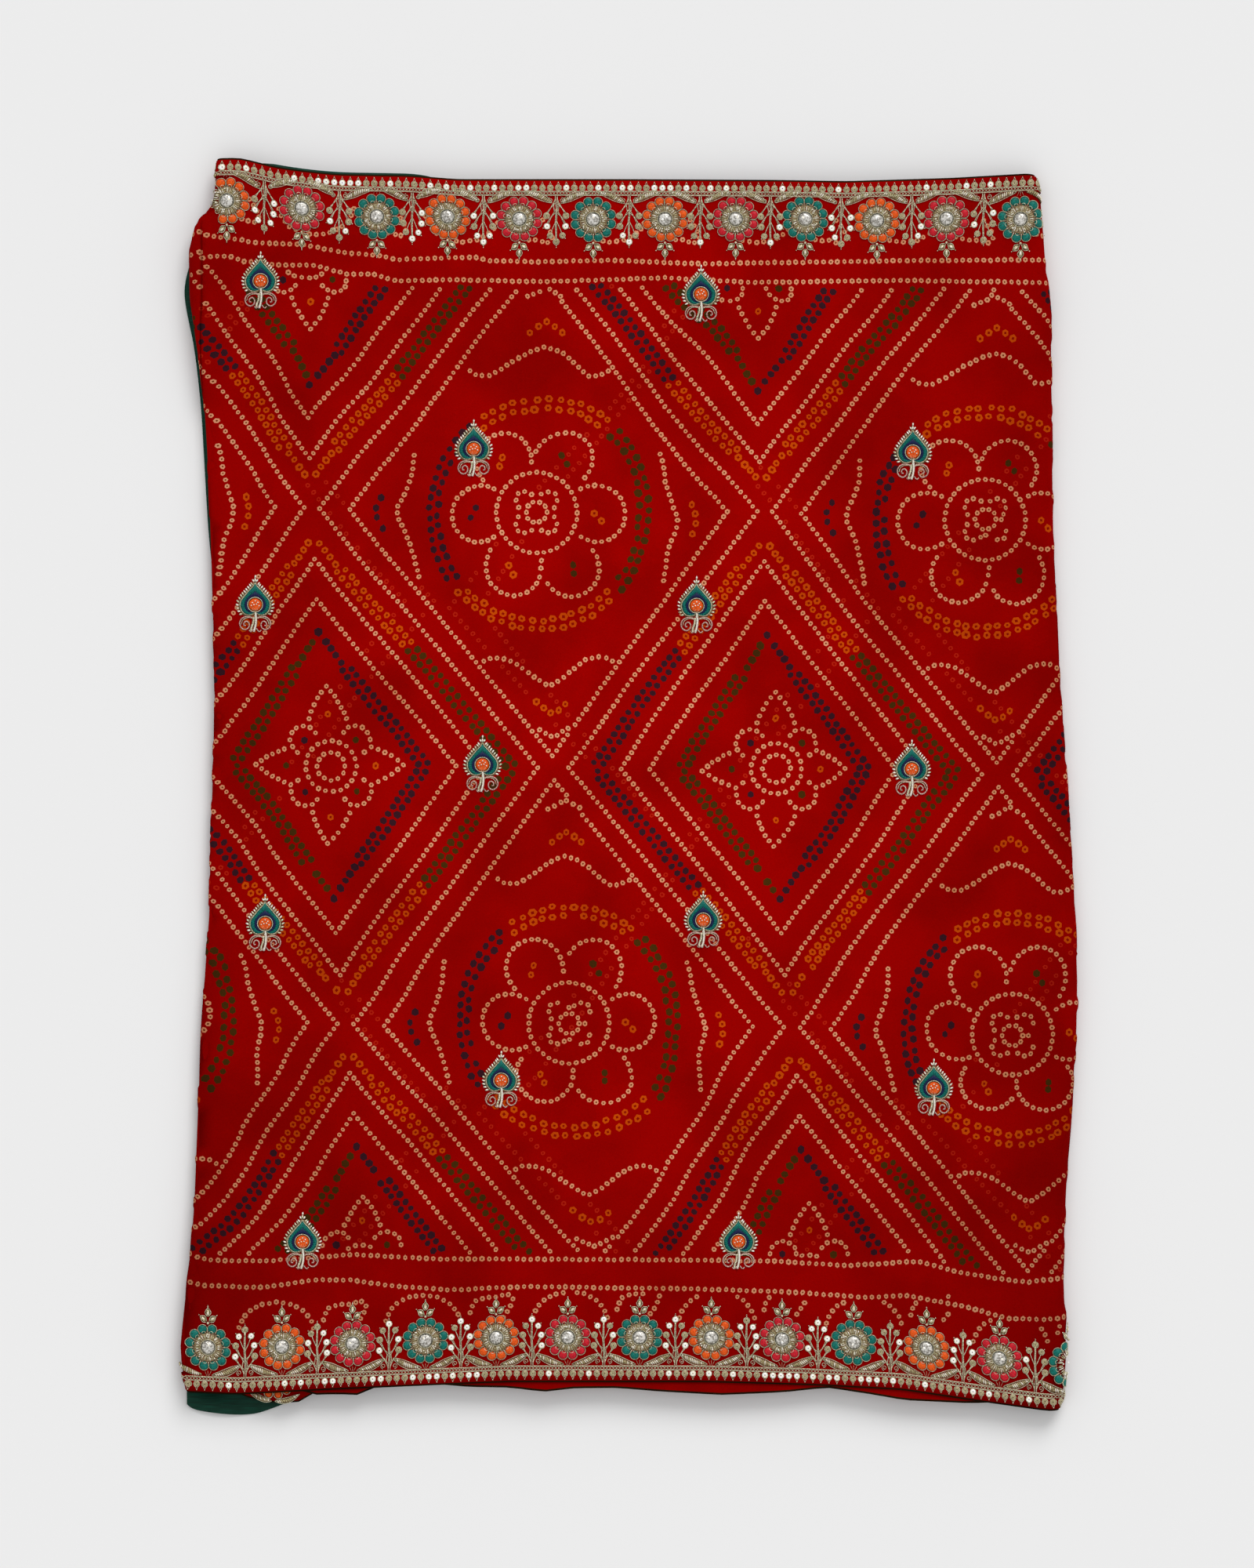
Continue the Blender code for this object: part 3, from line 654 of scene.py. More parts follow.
def tie_rosette(middle):
    """The rosette: rings, six petals, a two-dot ring, and small marks in the diamond's corners."""
    def at(x, y):
        return middle[0] + x, middle[1] + y

    tie_ring(middle, 9.4, 10)
    for step in range(24):
        angle = math.tau * step / 24
        radius = 19.2 - 4.6 * math.cos(4 * angle)
        tie(*at(radius * math.cos(angle), radius * math.sin(angle)), turn=angle)
    tie_ring(middle, 36.6, 36)
    for x, y, first, last in (
        (-52.4, 0, 44, 316), (-30.8, 48.4, -4, 224), (22.8, 48.2, -38, 162), (53, 0, -136, 136),
        (-21.7, -47.6, 146, 338), (29.9, -48.5, 201, 397),
    ):
        sweep = math.radians(last - first)
        count = round(PETAL_LOOP * sweep / CURVE_PITCH) + 1
        tie_ring(at(x, y), PETAL_LOOP, count, start=math.radians(first), sweep=sweep)
    for x, y in ((-4.2, 43.5), (-4.9, 49.8), (4.0, -43.3), (3.6, -49.6)):
        tie(*at(x, y))
    for from_degrees, to_degrees, dye in (
        (54, 126, "orange"), (129, 219, "blue"), (223, 316, "orange"), (320, 410, "green"),
    ):
        for across, up, shift in ((99.0, 103.5, 0.0), (91.3, 95.5, 0.5)):
            count = round(math.radians(to_degrees - from_degrees) * across / TWO_DOT_PITCH)
            for step in range(count):
                share = (step + shift + tying.uniform(-0.1, 0.1)) / count
                angle = math.radians(from_degrees + (to_degrees - from_degrees) * share)
                slip = tying.uniform(-1.0, 1.0)
                tie(
                    *at((across + slip) * math.cos(angle), (up + slip) * math.sin(angle)), dye=dye,
                    size=7.4 * tying.uniform(0.9, 1.1), turn=angle, room=4.4,
                )
    for dye, marks in (
        ("blue", ((-55.5, 5.5), (-61, -3.6))),
        ("orange", ((51.6, 0.3), (58.2, -6.7), (-31.8, 51), (-34.3, 42.8))),
        ("green", ((21.8, 52.5), (27, 44.9))),
        ("orange", ((-25.8, -47), (-22, -55))),
        ("green", ((32.5, -46), (32.5, -53.7))),
        ("blue", ((-140.4, 13.6), (-145, 5), (-144.4, -3.6), (-139, -13.3))),
        ("orange", (
            (137.7, 7), (141, -1.2), (141.6, -9.7), (138.6, -18.8), (-14.6, 161.7), (-7.9, 166.8),
            (-1.5, 170.8), (5.4, 166.8), (11.6, 161.7), (-1.8, -169), (4.9, -175), (11.2, -179),
            (18.2, -176.5), (24.4, -171),
        )),
    ):
        for mark in marks:
            tie(*at(*mark), dye=dye, size=7.2, room=4.4)
    for soft_line in (
        ((-63.7, 128.3), (-57, 124.3), (-46.4, 124.3), (-35.8, 129.8), (-23.7, 138.9),
         (-13, 145.6), (-3, 149), (9.7, 145), (20.3, 137.4), (27.9, 129.8), (37, 123),
         (46, 122.8), (55.2, 127.4)),
        ((-49.4, -132.5), (-43.4, -129.5), (-34.3, -129.5), (-23.7, -132.5), (-13, -140),
         (-2.4, -147.7), (9.7, -155.3), (21.8, -147.7), (32.5, -138.6), (43, -131),
         (53.7, -128), (61.3, -129), (67.3, -132)),
        ((-112.5, 54), (-114.6, 34.3), (-119, 22), (-126.8, 5.5), (-126.8, -2), (-118.3, -20.3),
         (-112.5, -38.5), (-108, -55.8)),
        ((107.4, 52.5), (110.7, 43.4), (112.8, 28.2), (122, 5.5), (125.9, -3.6), (124.3, -14.3),
         (117.4, -31), (113.7, -59.7)),
        ((-18.7, 191.7), (-8.2, 196), (-3.4, 200.9), (1, 198), (10.4, 192.7)),
        ((1.2, -194.7), (13.3, -201.4), (27, -193)),
    ):
        tie_curve([at(*place) for place in soft_line])


for row in ROWS.values():
    tie_curve([(row[0][0] - 30, row[0][1]), *row, (row[-1][0] + 35, row[-1][1])], cut=False)
for row in ROLL_ROWS:
    tie_curve(row, cut=False, rolled=True)
for place in ROLL_MARKS:
    tie(*place, dye="green", size=5.6, cut=False, rolled=True)

# Arches and hooked leaves in the print, half hidden under the borders.
ARCH_REPEAT = 133.0
ARCH_WIDE, ARCH_TALL, ARCH_DEPTH = 34, 26, 56
HOOK = (-24, 66), (-21, 76), (-10, 80), (2, 80), (9, 84), (15, 78), (12, 70), (6, 62)
for repeat in range(-4, 5):
    for edge, side, hidden, middle in ((lower_edge, 1, 0, -186), (upper_edge, -1, 25, -150)):
        x = middle + repeat * ARCH_REPEAT
        if abs(x) < 420:
            base = edge(x) - side * hidden
            tie_curve([
                (
                    x + ARCH_WIDE * math.cos(angle),
                    base + side * (ARCH_DEPTH + ARCH_TALL * math.sin(angle)),
                )
                for angle in np.linspace(0.1, math.pi - 0.1, 9)
            ], cut=False)
            tie_curve([
                (x + ARCH_REPEAT / 2 + along, base + side * depth) for along, depth in HOOK
            ], cut=False)

for across, down in REPEATS:
    tie_rosette(in_repeat(across, down))
    tie_star(in_repeat(across + 0.5, down + 0.5))

# The lattice of diamonds round them, in steps of the repeat from each diamond's middle.
DIAMOND = ((0, -1), (1, 0), (0, 1), (-1, 0), (0, -1))
for across, down in REPEATS:
    centre = in_repeat(across, down)
    star = in_repeat(across + 0.5, down + 0.5)
    for middle, half_width, half_height in (
        (centre, 0.4175, 0.476), (star, 0.347, 0.408), (star, 0.281, 0.330),
    ):
        tie_line([in_repeat(a * half_width, d * half_height, middle) for a, d in DIAMOND])
    for side in (-1, 1):
        tie_line([
            in_repeat(side * 0.035, -0.5, centre), in_repeat(side * 0.483, 0, centre),
            in_repeat(side * 0.035, 0.5, centre),
        ])
    for side, dye, inner_dye in ((-1, "blue", "green"), (1, "green", "blue")):
        for half in (-1, 1):
            for (from_x, from_y), (to_x, to_y), look in (
                ((0.012, 0.437), (0.187, 0.243), ("orange", 6.6, 24)),
                ((0.200, 0.229), (0.404, 0.004), (dye, 6.8, 0)),
                ((0.015, 0.244), (0.207, 0.004), (inner_dye, 7.0, 27)),
            ):
                tie_band((
                    in_repeat(side * from_x, half * from_y, star),
                    in_repeat(side * to_x, half * to_y, star),
                ), *look)
    for half in (-1, 1):
        tie(*in_repeat(0, half * 0.264, star), dye="blue", size=8.0)

# The plies below show through the sheer cloth as fainter rings, of the same repeat turned over.
GHOST_LEAN = 30
for across, down in REPEATS:
    middle = in_repeat(across + 0.27, down + 0.18)
    for half_width, half_height in ((0.4175, 0.476), (0.483, 0.5)):
        tie_line([
            (
                middle[0] - a * half_width * ACROSS[0] + d * half_height * GHOST_LEAN,
                middle[1] + d * half_height * DOWN[1],
            )
            for a, d in DIAMOND
        ], pitch=8.0, dye="ghost", size=4.8, room=5.4)


def linear(colour):
    """An sRGB hex colour as linear red, green, blue and alpha."""
    parts = [int(colour[place:place + 2], 16) / 255 for place in (1, 3, 5)]
    return [
        *(part / 12.92 if part <= 0.04045 else ((part + 0.055) / 1.055) ** 2.4 for part in parts),
        1.0,
    ]


def add_node(material, kind, settings=None, links=None, **traits):
    """Adds a node with its traits and socket settings, and links other nodes' outputs to it."""
    node = material.node_tree.nodes.new(kind)
    for trait, value in traits.items():
        setattr(node, trait, value)
    for socket, value in (settings or {}).items():
        node.inputs[socket].default_value = value
    for socket, (source, output) in (links or {}).items():
        material.node_tree.links.new(source.outputs[output], node.inputs[socket])
    return node


def new_material(name):
    """An empty node material, and the object's own coordinates."""
    material = bpy.data.materials.new(name)
    material.use_nodes = True
    material.node_tree.nodes.clear()
    return material, add_node(material, "ShaderNodeTexCoord")


def noise(material, place, width, **settings):
    """Soft noise whose patches are so many millimetres wide."""
    return add_node(
        material, "ShaderNodeTexNoise", {"Scale": 1 / (width * MM), **settings},
        {"Vector": (place, "Object")},
    )


def two_tones(material, source, low, high, span):
    """A colour that runs from low to high as a noise does over a span."""
    ramp = add_node(material, "ShaderNodeValToRGB", links={"Fac": (source, "Fac")})
    for stop, position, colour in zip(ramp.color_ramp.elements, span, (low, high)):
        stop.position = position
        stop.color = linear(colour)
    return ramp


def surfaced(material, colour, grain, strength, depth, settings):
    """Ends a material: its colour, the relief of its grain in millimetres, and its shine."""
    bump = add_node(
        material, "ShaderNodeBump", {"Strength": strength, "Distance": depth * MM},
        {"Height": (grain, "Fac")},
    )
    surface = add_node(
        material, "ShaderNodeBsdfPrincipled", settings,
        {"Base Color": colour, "Normal": (bump, "Normal")},
    )
    add_node(material, "ShaderNodeOutputMaterial", links={"Surface": (surface, "BSDF")})
    return material


CREPE_GRAIN = 1.3
SHADE_PATCH = 85.0
SIDE_SHADE = 0.19


def dyed_crepe(name, colour, shade):
    """Polyester crepe, dyed: matt, with the crinkled grain of overtwisted yarn.

    The real grain is 0.3 mm, too fine to show, so it is drawn 1.3 mm wide. The colour
    is darker in soft random patches, and painted shade darkens it towards the sides.
    """
    material, place = new_material(name)
    patches = noise(material, place, SHADE_PATCH, Detail=3.0, Roughness=0.55)
    shading = two_tones(material, patches, shade, colour, (0.34, 0.62))
    grain = noise(material, place, CREPE_GRAIN, Detail=4.0, Distortion=0.6)
    fleck = add_node(
        material, "ShaderNodeMapRange",
        {"From Min": 0.3, "From Max": 0.7, "To Min": 0.90, "To Max": 1.08},
        {"Value": (grain, "Fac")},
    )
    # Painted shade: the colour darkens towards the sides, where the light falls off, and is lightest
    # over the middle.
    from_middle = add_node(
        material, "ShaderNodeMapping",
        {"Location": (0.0, -0.29, 0.0), "Scale": (2.6, 1.6, 0.0)}, {"Vector": (place, "Object")},
    )
    squared = add_node(
        material, "ShaderNodeVectorMath",
        links={0: (from_middle, "Vector"), 1: (from_middle, "Vector")}, operation="DOT_PRODUCT",
    )
    painted_falloff = add_node(
        material, "ShaderNodeMath", {1: -SIDE_SHADE, 2: 1.0}, {0: (squared, "Value")},
        operation="MULTIPLY_ADD",
    )
    flecks_and_painted_falloff = add_node(
        material, "ShaderNodeMath", links={0: (painted_falloff, "Value"), 1: (fleck, "Result")},
        operation="MULTIPLY",
    )
    flecked_with_painted_falloff = add_node(
        material, "ShaderNodeVectorMath", links={0: (shading, "Color"), 1: (flecks_and_painted_falloff, "Value")},
        operation="MULTIPLY",
    )
    return surfaced(
        material, (flecked_with_painted_falloff, "Vector"), grain, 0.35, 0.3,
        {"Roughness": 0.85, "IOR": 1.45, "Specular IOR Level": 0.01},
    )


CREPE_DYES = {
    "ground": dyed_crepe("red_dyed_crepe", "#9e0100", "#8a0100"),
    "cream": dyed_crepe("undyed_ring_crepe", "#e29a74", "#cc8058"),
    "centre": dyed_crepe("bound_middle_crepe", "#7a3a12", "#64280c"),
    "orange": dyed_crepe("orange_dyed_crepe", "#c94a06", "#b03a04"),
    "orange_centre": dyed_crepe("orange_middle_crepe", "#8e0e02", "#7c0a02"),
    "green": dyed_crepe("green_dyed_crepe", "#482e0c", "#3c240a"),
    "blue": dyed_crepe("blue_dyed_crepe", "#381a22", "#30141c"),
    "ghost": dyed_crepe("shown_through_crepe", "#b8200e", "#a01a0c"),
    "hem": dyed_crepe("overlocked_hem_crepe", "#2c1c0c", "#22140a"),
}
dye_slots = list(CREPE_DYES)

# Rows of the mesh, as distances from the nearer selvedge. The first is the overlocked hem's width.
HEM_THREAD = 1.8
SELVEDGE_ROWS = (0, HEM_THREAD, 8, 16, 26, 40, 58, 78, 100, 130)
MIDDLE_ROW = 172
MIDDLE_ROW_STEP = 42.0
middle_rows = np.linspace(
    MIDDLE_ROW, WIDTH - MIDDLE_ROW, round((WIDTH - 2 * MIDDLE_ROW) / MIDDLE_ROW_STEP) + 1)
row_distances = [*SELVEDGE_ROWS, *middle_rows, *(WIDTH - row for row in reversed(SELVEDGE_ROWS))]
row_shares = np.array(row_distances) / WIDTH
columns, first_over, last_over = cloth_columns(row_shares)


def shell(grid, out):
    """Points so far out from the middle of a folded sheet, on its face side."""
    return np.stack([grid[0] + grid[3] * out, grid[1], grid[2] + grid[4] * out], axis=-1)


face_grid, back_grid = shell(columns, CLOTH / 2), shell(columns, -CLOTH / 2)
column_count, row_count = face_grid.shape[:2]


def face_index(column, row):
    """The number of a point on the face side."""
    return column * row_count + row


def back_index(column, row):
    """The number of the point behind it."""
    return column_count * row_count + face_index(column, row)


def over_u(column, row):
    """How far along the cloth a column of the top ply or of its folds is, at a row."""
    share = row_shares[row]
    if column - first_over <= FOLDS[0].arc_points:
        begin, reach, half = fold_shape(FOLDS[0], share)
        turned = 1 - (column - first_over) / (FOLDS[0].arc_points + 1)
        return begin + half_ellipse(reach, half) * turned
    if last_over - column <= FOLDS[1].arc_points:
        begin, reach, half = fold_shape(FOLDS[1], share)
        turned = 1 - (last_over - column) / (FOLDS[1].arc_points + 1)
        return begin - half_ellipse(reach, half) * turned
    return columns[0, column, row]


def over_point(column, row):
    """The place of such a column and row on the top ply, unrolled flat."""
    u = over_u(column, row)
    return float(u), float(top_v(u, row_shares[row]))


# The outline of the top ply with its folds, unrolled flat, joined to the rest of the cloth.
last_row = row_count - 1
outline = [(column, 0) for column in range(last_over, first_over, -1)]
outline += [(first_over, row) for row in range(last_row)]
outline += [(column, last_row) for column in range(first_over, last_over)]
outline += [(last_over, row) for row in range(last_row, 0, -1)]
flat_points = [over_point(column, row) for column, row in outline]
edges = []
loops, loop_dyes = [list(range(len(outline)))], ["ground"]

# The inner edges of its two hems.
for row in (1, last_row - 1):
    inner = []
    for column in range(last_over, first_over - 1, -1):
        if column in (last_over, first_over):
            inner.append(outline.index((column, row)))
        else:
            inner.append(len(flat_points))
            flat_points.append(over_point(column, row))
    edges += list(zip(inner, inner[1:]))

# Each dot, cut in as an uneven ring and, where the thread kept a middle dark, a smaller one in it.
RING_MIDDLES = {
    "cream": ((4, 0.42, "centre"),), "orange": ((4, 0.44, "orange_centre"),),
    "ghost": ((4, 0.5, "ground"),),
}
for dot in dots:
    wide, long = dot.size / 2, dot.size / 2 * tying.uniform(0.82, 1.02)
    for sides, scale, dye in ((6, 1.0, dot.dye), *RING_MIDDLES.get(dot.dye, ())):
        loop = []
        for step in range(sides):
            angle = math.tau * (step + 0.5) / sides
            radius = scale * tying.uniform(0.9, 1.1)
            along, beside = long * radius * math.cos(angle), wide * radius * math.sin(angle)
            loop.append(len(flat_points))
            flat_points.append((
                dot.x + along * math.cos(dot.turn) - beside * math.sin(dot.turn),
                dot.y + along * math.sin(dot.turn) + beside * math.cos(dot.turn),
            ))
        loops.append(loop)
        loop_dyes.append(dye)



def clear_of_dots(u, v, room):
    """Whether a place is so far from the middle of every dot."""
    return all((dot.x - u) ** 2 + (dot.y - v) ** 2 > room * room for dot in dots_near(u, v))


# A line along the tuck and along the top of each of its walls, and more points beside it.
for u in (ROLL_CREASE - ROLL_BANK[0], ROLL_CREASE, ROLL_CREASE + LIP_BANK[0]):
    start = len(flat_points)
    flat_points += [(u, float(v)) for v in np.arange(342, 522, 6.0)]
    edges += [(place, place + 1) for place in range(start, len(flat_points) - 1)]
for v in np.arange(340, 520, 7.0):
    for u in (-401, -398, -395, -392.5, -390, -387.8, -383, -380.5, -378, -375):
        if clear_of_dots(u, v, math.sqrt(12)):
            flat_points.append((float(u), float(v)))

# A grid between the dots, which carries the creases and billows.
GRID_STEP = 13.0
for u in np.arange(-440, 441, GRID_STEP):
    for v in np.arange(-560, 561, GRID_STEP):
        share = float(top_share(u, v))
        if 0.006 < share < 0.994:
            left, right = top_span(share)
            if left + 3 < u < right - 3 and clear_of_dots(u, v, 5.0):
                flat_points.append((float(u), float(v)))

laid, _, laid_faces, laid_from, _, face_loops = delaunay_2d_cdt(
    [Vector(point) for point in flat_points], edges, loops, 1, 1e-4, True,
)
laid_places = np.array([(point.x, point.y) for point in laid])
laid_points = on_top(laid_places[:, 0], laid_places[:, 1], 0.0)
cloth_points = np.concatenate([face_grid.reshape(-1, 3), back_grid.reshape(-1, 3), laid_points])
laid_start = 2 * column_count * row_count
laid_index = []
for place, sources in enumerate(laid_from):
    on_outline = [source for source in sources if source < len(outline)]
    laid_index.append(face_index(*outline[on_outline[0]]) if on_outline else laid_start + place)

cloth_faces, cloth_kinds = [], []
low_hem = HEM_THREAD / WIDTH
for face, sources in zip(laid_faces, face_loops):
    if 0 not in sources:
        continue
    cloth_faces.append([laid_index[place] for place in face])
    if max(sources):
        cloth_kinds.append(dye_slots.index(loop_dyes[max(sources)]))
        continue
    share = top_share(*laid_places[list(face)].mean(axis=0))
    hem = min(share, 1 - share) < low_hem
    cloth_kinds.append(dye_slots.index("hem" if hem else "ground"))

# The other plies and the back of them all, and then the rim that joins face and back.
for column in range(column_count - 1):
    for row in range(row_count - 1):
        hem = dye_slots.index("hem" if row in (0, row_count - 2) else "ground")
        if not first_over <= column < last_over:
            cloth_faces.append((
                face_index(column, row), face_index(column, row + 1),
                face_index(column + 1, row + 1), face_index(column + 1, row)))
            cloth_kinds.append(hem)
        cloth_faces.append((
            back_index(column, row), back_index(column + 1, row),
            back_index(column + 1, row + 1), back_index(column, row + 1)))
        cloth_kinds.append(hem)
rim = [(column, 0) for column in range(column_count)]
rim += [(column_count - 1, row) for row in range(1, row_count)]
rim += [(column, last_row) for column in range(column_count - 2, -1, -1)]
rim += [(0, row) for row in range(row_count - 2, 0, -1)]
for here, following in zip(rim, rim[1:] + rim[:1]):
    cloth_faces.append((
        face_index(*here), face_index(*following), back_index(*following), back_index(*here)))
    cloth_kinds.append(dye_slots.index("hem"))

red_cloth = make_mesh(
    "red_bandhani_cloth", cloth_points, cloth_faces, list(CREPE_DYES.values()), cloth_kinds)
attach(red_cloth, "root")
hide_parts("red_cloth")


# The end panel: plain dark green satin, joined to the end of the red cloth with a butt seam. It is
# the lowest in the stack and shows at the lower left corner and along the left side.
GREEN_LOWER_EDGE = (
    (-400.6, -560.5), (-396, -564.5), (-384, -567.3), (-359, -570.1), (-339, -569.4), (-326, -565.2),
    (-305, -557.0), (-285, -546.0), (-240, -541.0), (-100, -536.0), (70, -536.0), (200, -540.0),
    (345, -554.0),
)
GREEN_UPPER_EDGE = (
    (-366, 557.0), (-335, 566.8), (-300, 560.6), (-264, 556.9), (-225, 556.3), (-190, 555.6),
    (-170, 550.0), (0, 546.0), (150, 545.0), (320, 546.0),
)
GREEN_LEFT_EDGE = (
    (-540, -400.9), (-450, -397.0), (-300, -386.0), (-60, -375.0), (85, -371.0), (176, -375.0),
    (222, -380.5), (256, -382.8), (312, -385.8), (347, -388.0), (399, -394.0), (421, -399.0),
    (442, -402.8), (454, -402.8), (467, -400.0), (500, -390.0), (525, -371.0),
)
PANEL_STEP = 22.0
PANEL_LIFT = 2.6


def panel_height(x, y):
    """The satin's upper side: flat under the stack, in low ripples where it lies free."""
    below = np.clip((lower_edge(x) - y) / 8, 0, 1)
    beyond = np.clip((left_edge(y) + 3 - x) / 6, 0, 1)
    ripple = 0.5 + 0.5 * np.sin(x / 11 + y / 17)
    return CLOTH + PANEL_LIFT * np.maximum(below, 0.4 * beyond) * ripple


def rounded(points, rounds=2):
    """Cuts the corners off an open line, so that it bends softly."""
    for _ in range(rounds):
        softer = [points[0]]
        for (from_x, from_y), (to_x, to_y) in zip(points, points[1:]):
            softer.append((0.75 * from_x + 0.25 * to_x, 0.75 * from_y + 0.25 * to_y))
            softer.append((0.25 * from_x + 0.75 * to_x, 0.25 * from_y + 0.75 * to_y))
        points = [*softer, points[-1]]
    return points


seam_x = columns[0, 0] - SEWN_GAP
seam = list(zip(seam_x.tolist(), columns[1, 0].tolist()))
panel_outline = [point for point in GREEN_LOWER_EDGE if point[0] < seam[0][0]] + [seam[0]]
panel_outline = rounded(panel_outline) + seam[1:-1]
panel_top = [seam[-1]] + [point for point in reversed(GREEN_UPPER_EDGE) if point[0] < seam[-1][0]]
panel_outline += rounded(panel_top)
panel_outline += rounded([(x, y) for y, x in reversed(GREEN_LEFT_EDGE)])
panel_flat = [Vector(point) for point in panel_outline]
for x in np.arange(-420, 400, PANEL_STEP):
    for y in np.arange(-580, 580, PANEL_STEP):
        panel_flat.append(Vector((float(x), float(y))))
for x in np.arange(-404, -280, 5.0):
    for y in np.arange(-572, -540, 5.0):
        panel_flat.append(Vector((float(x), float(y))))
panel_loop = list(range(len(panel_outline)))
panel_laid, _, panel_faces, panel_from, _, panel_inside = delaunay_2d_cdt(
    panel_flat, [], [panel_loop], 1, 1e-4, True)
panel_xy = np.array([(point.x, point.y) for point in panel_laid])
panel_top_z = panel_height(panel_xy[:, 0], panel_xy[:, 1])
panel_points = np.concatenate([
    np.column_stack([panel_xy, panel_top_z]), np.column_stack([panel_xy, panel_top_z - CLOTH])])
count = len(panel_xy)
kept = [tuple(face) for face, sources in zip(panel_faces, panel_inside) if sources]
panel_rim = {}
for place, sources in enumerate(panel_from):
    for source in sources:
        if source < len(panel_outline):
            panel_rim[source] = place
green_faces = kept + [tuple(count + place for place in reversed(face)) for face in kept]
for place in panel_loop:
    here, following = panel_rim[place], panel_rim[(place + 1) % len(panel_loop)]
    if here != following:
        green_faces.append((following, here, count + here, count + following))


def green_satin_finish():
    """Dark green satin, woven: long floats along the cloth give it a soft streaked shine.

    The floats are 0.15 mm wide, too fine to show, so the streaks are drawn 1 mm wide.
    """
    material, place = new_material("green_woven_satin")
    stretched = add_node(
        material, "ShaderNodeMapping", {"Scale": (60.0, 900.0, 60.0)},
        {"Vector": (place, "Object")},
    )
    floats = add_node(
        material, "ShaderNodeTexNoise", {"Scale": 1.0, "Detail": 2.0},
        {"Vector": (stretched, "Vector")},
    )
    # Painted sheen: the lighter streaks of the colour follow the floats, on top of the satin's real
    # shine.
    tone = two_tones(material, floats, "#02281c", "#074232", (0.3, 0.75))
    return surfaced(
        material, (tone, "Color"), floats, 0.2, 0.2,
        {"Roughness": 0.5, "Specular IOR Level": 0.15},
    )


green_panel = make_mesh(
    "green_end_panel", panel_points, green_faces, [green_satin_finish()], [0] * len(green_faces))
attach(green_panel, "root")
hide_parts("green_panel")


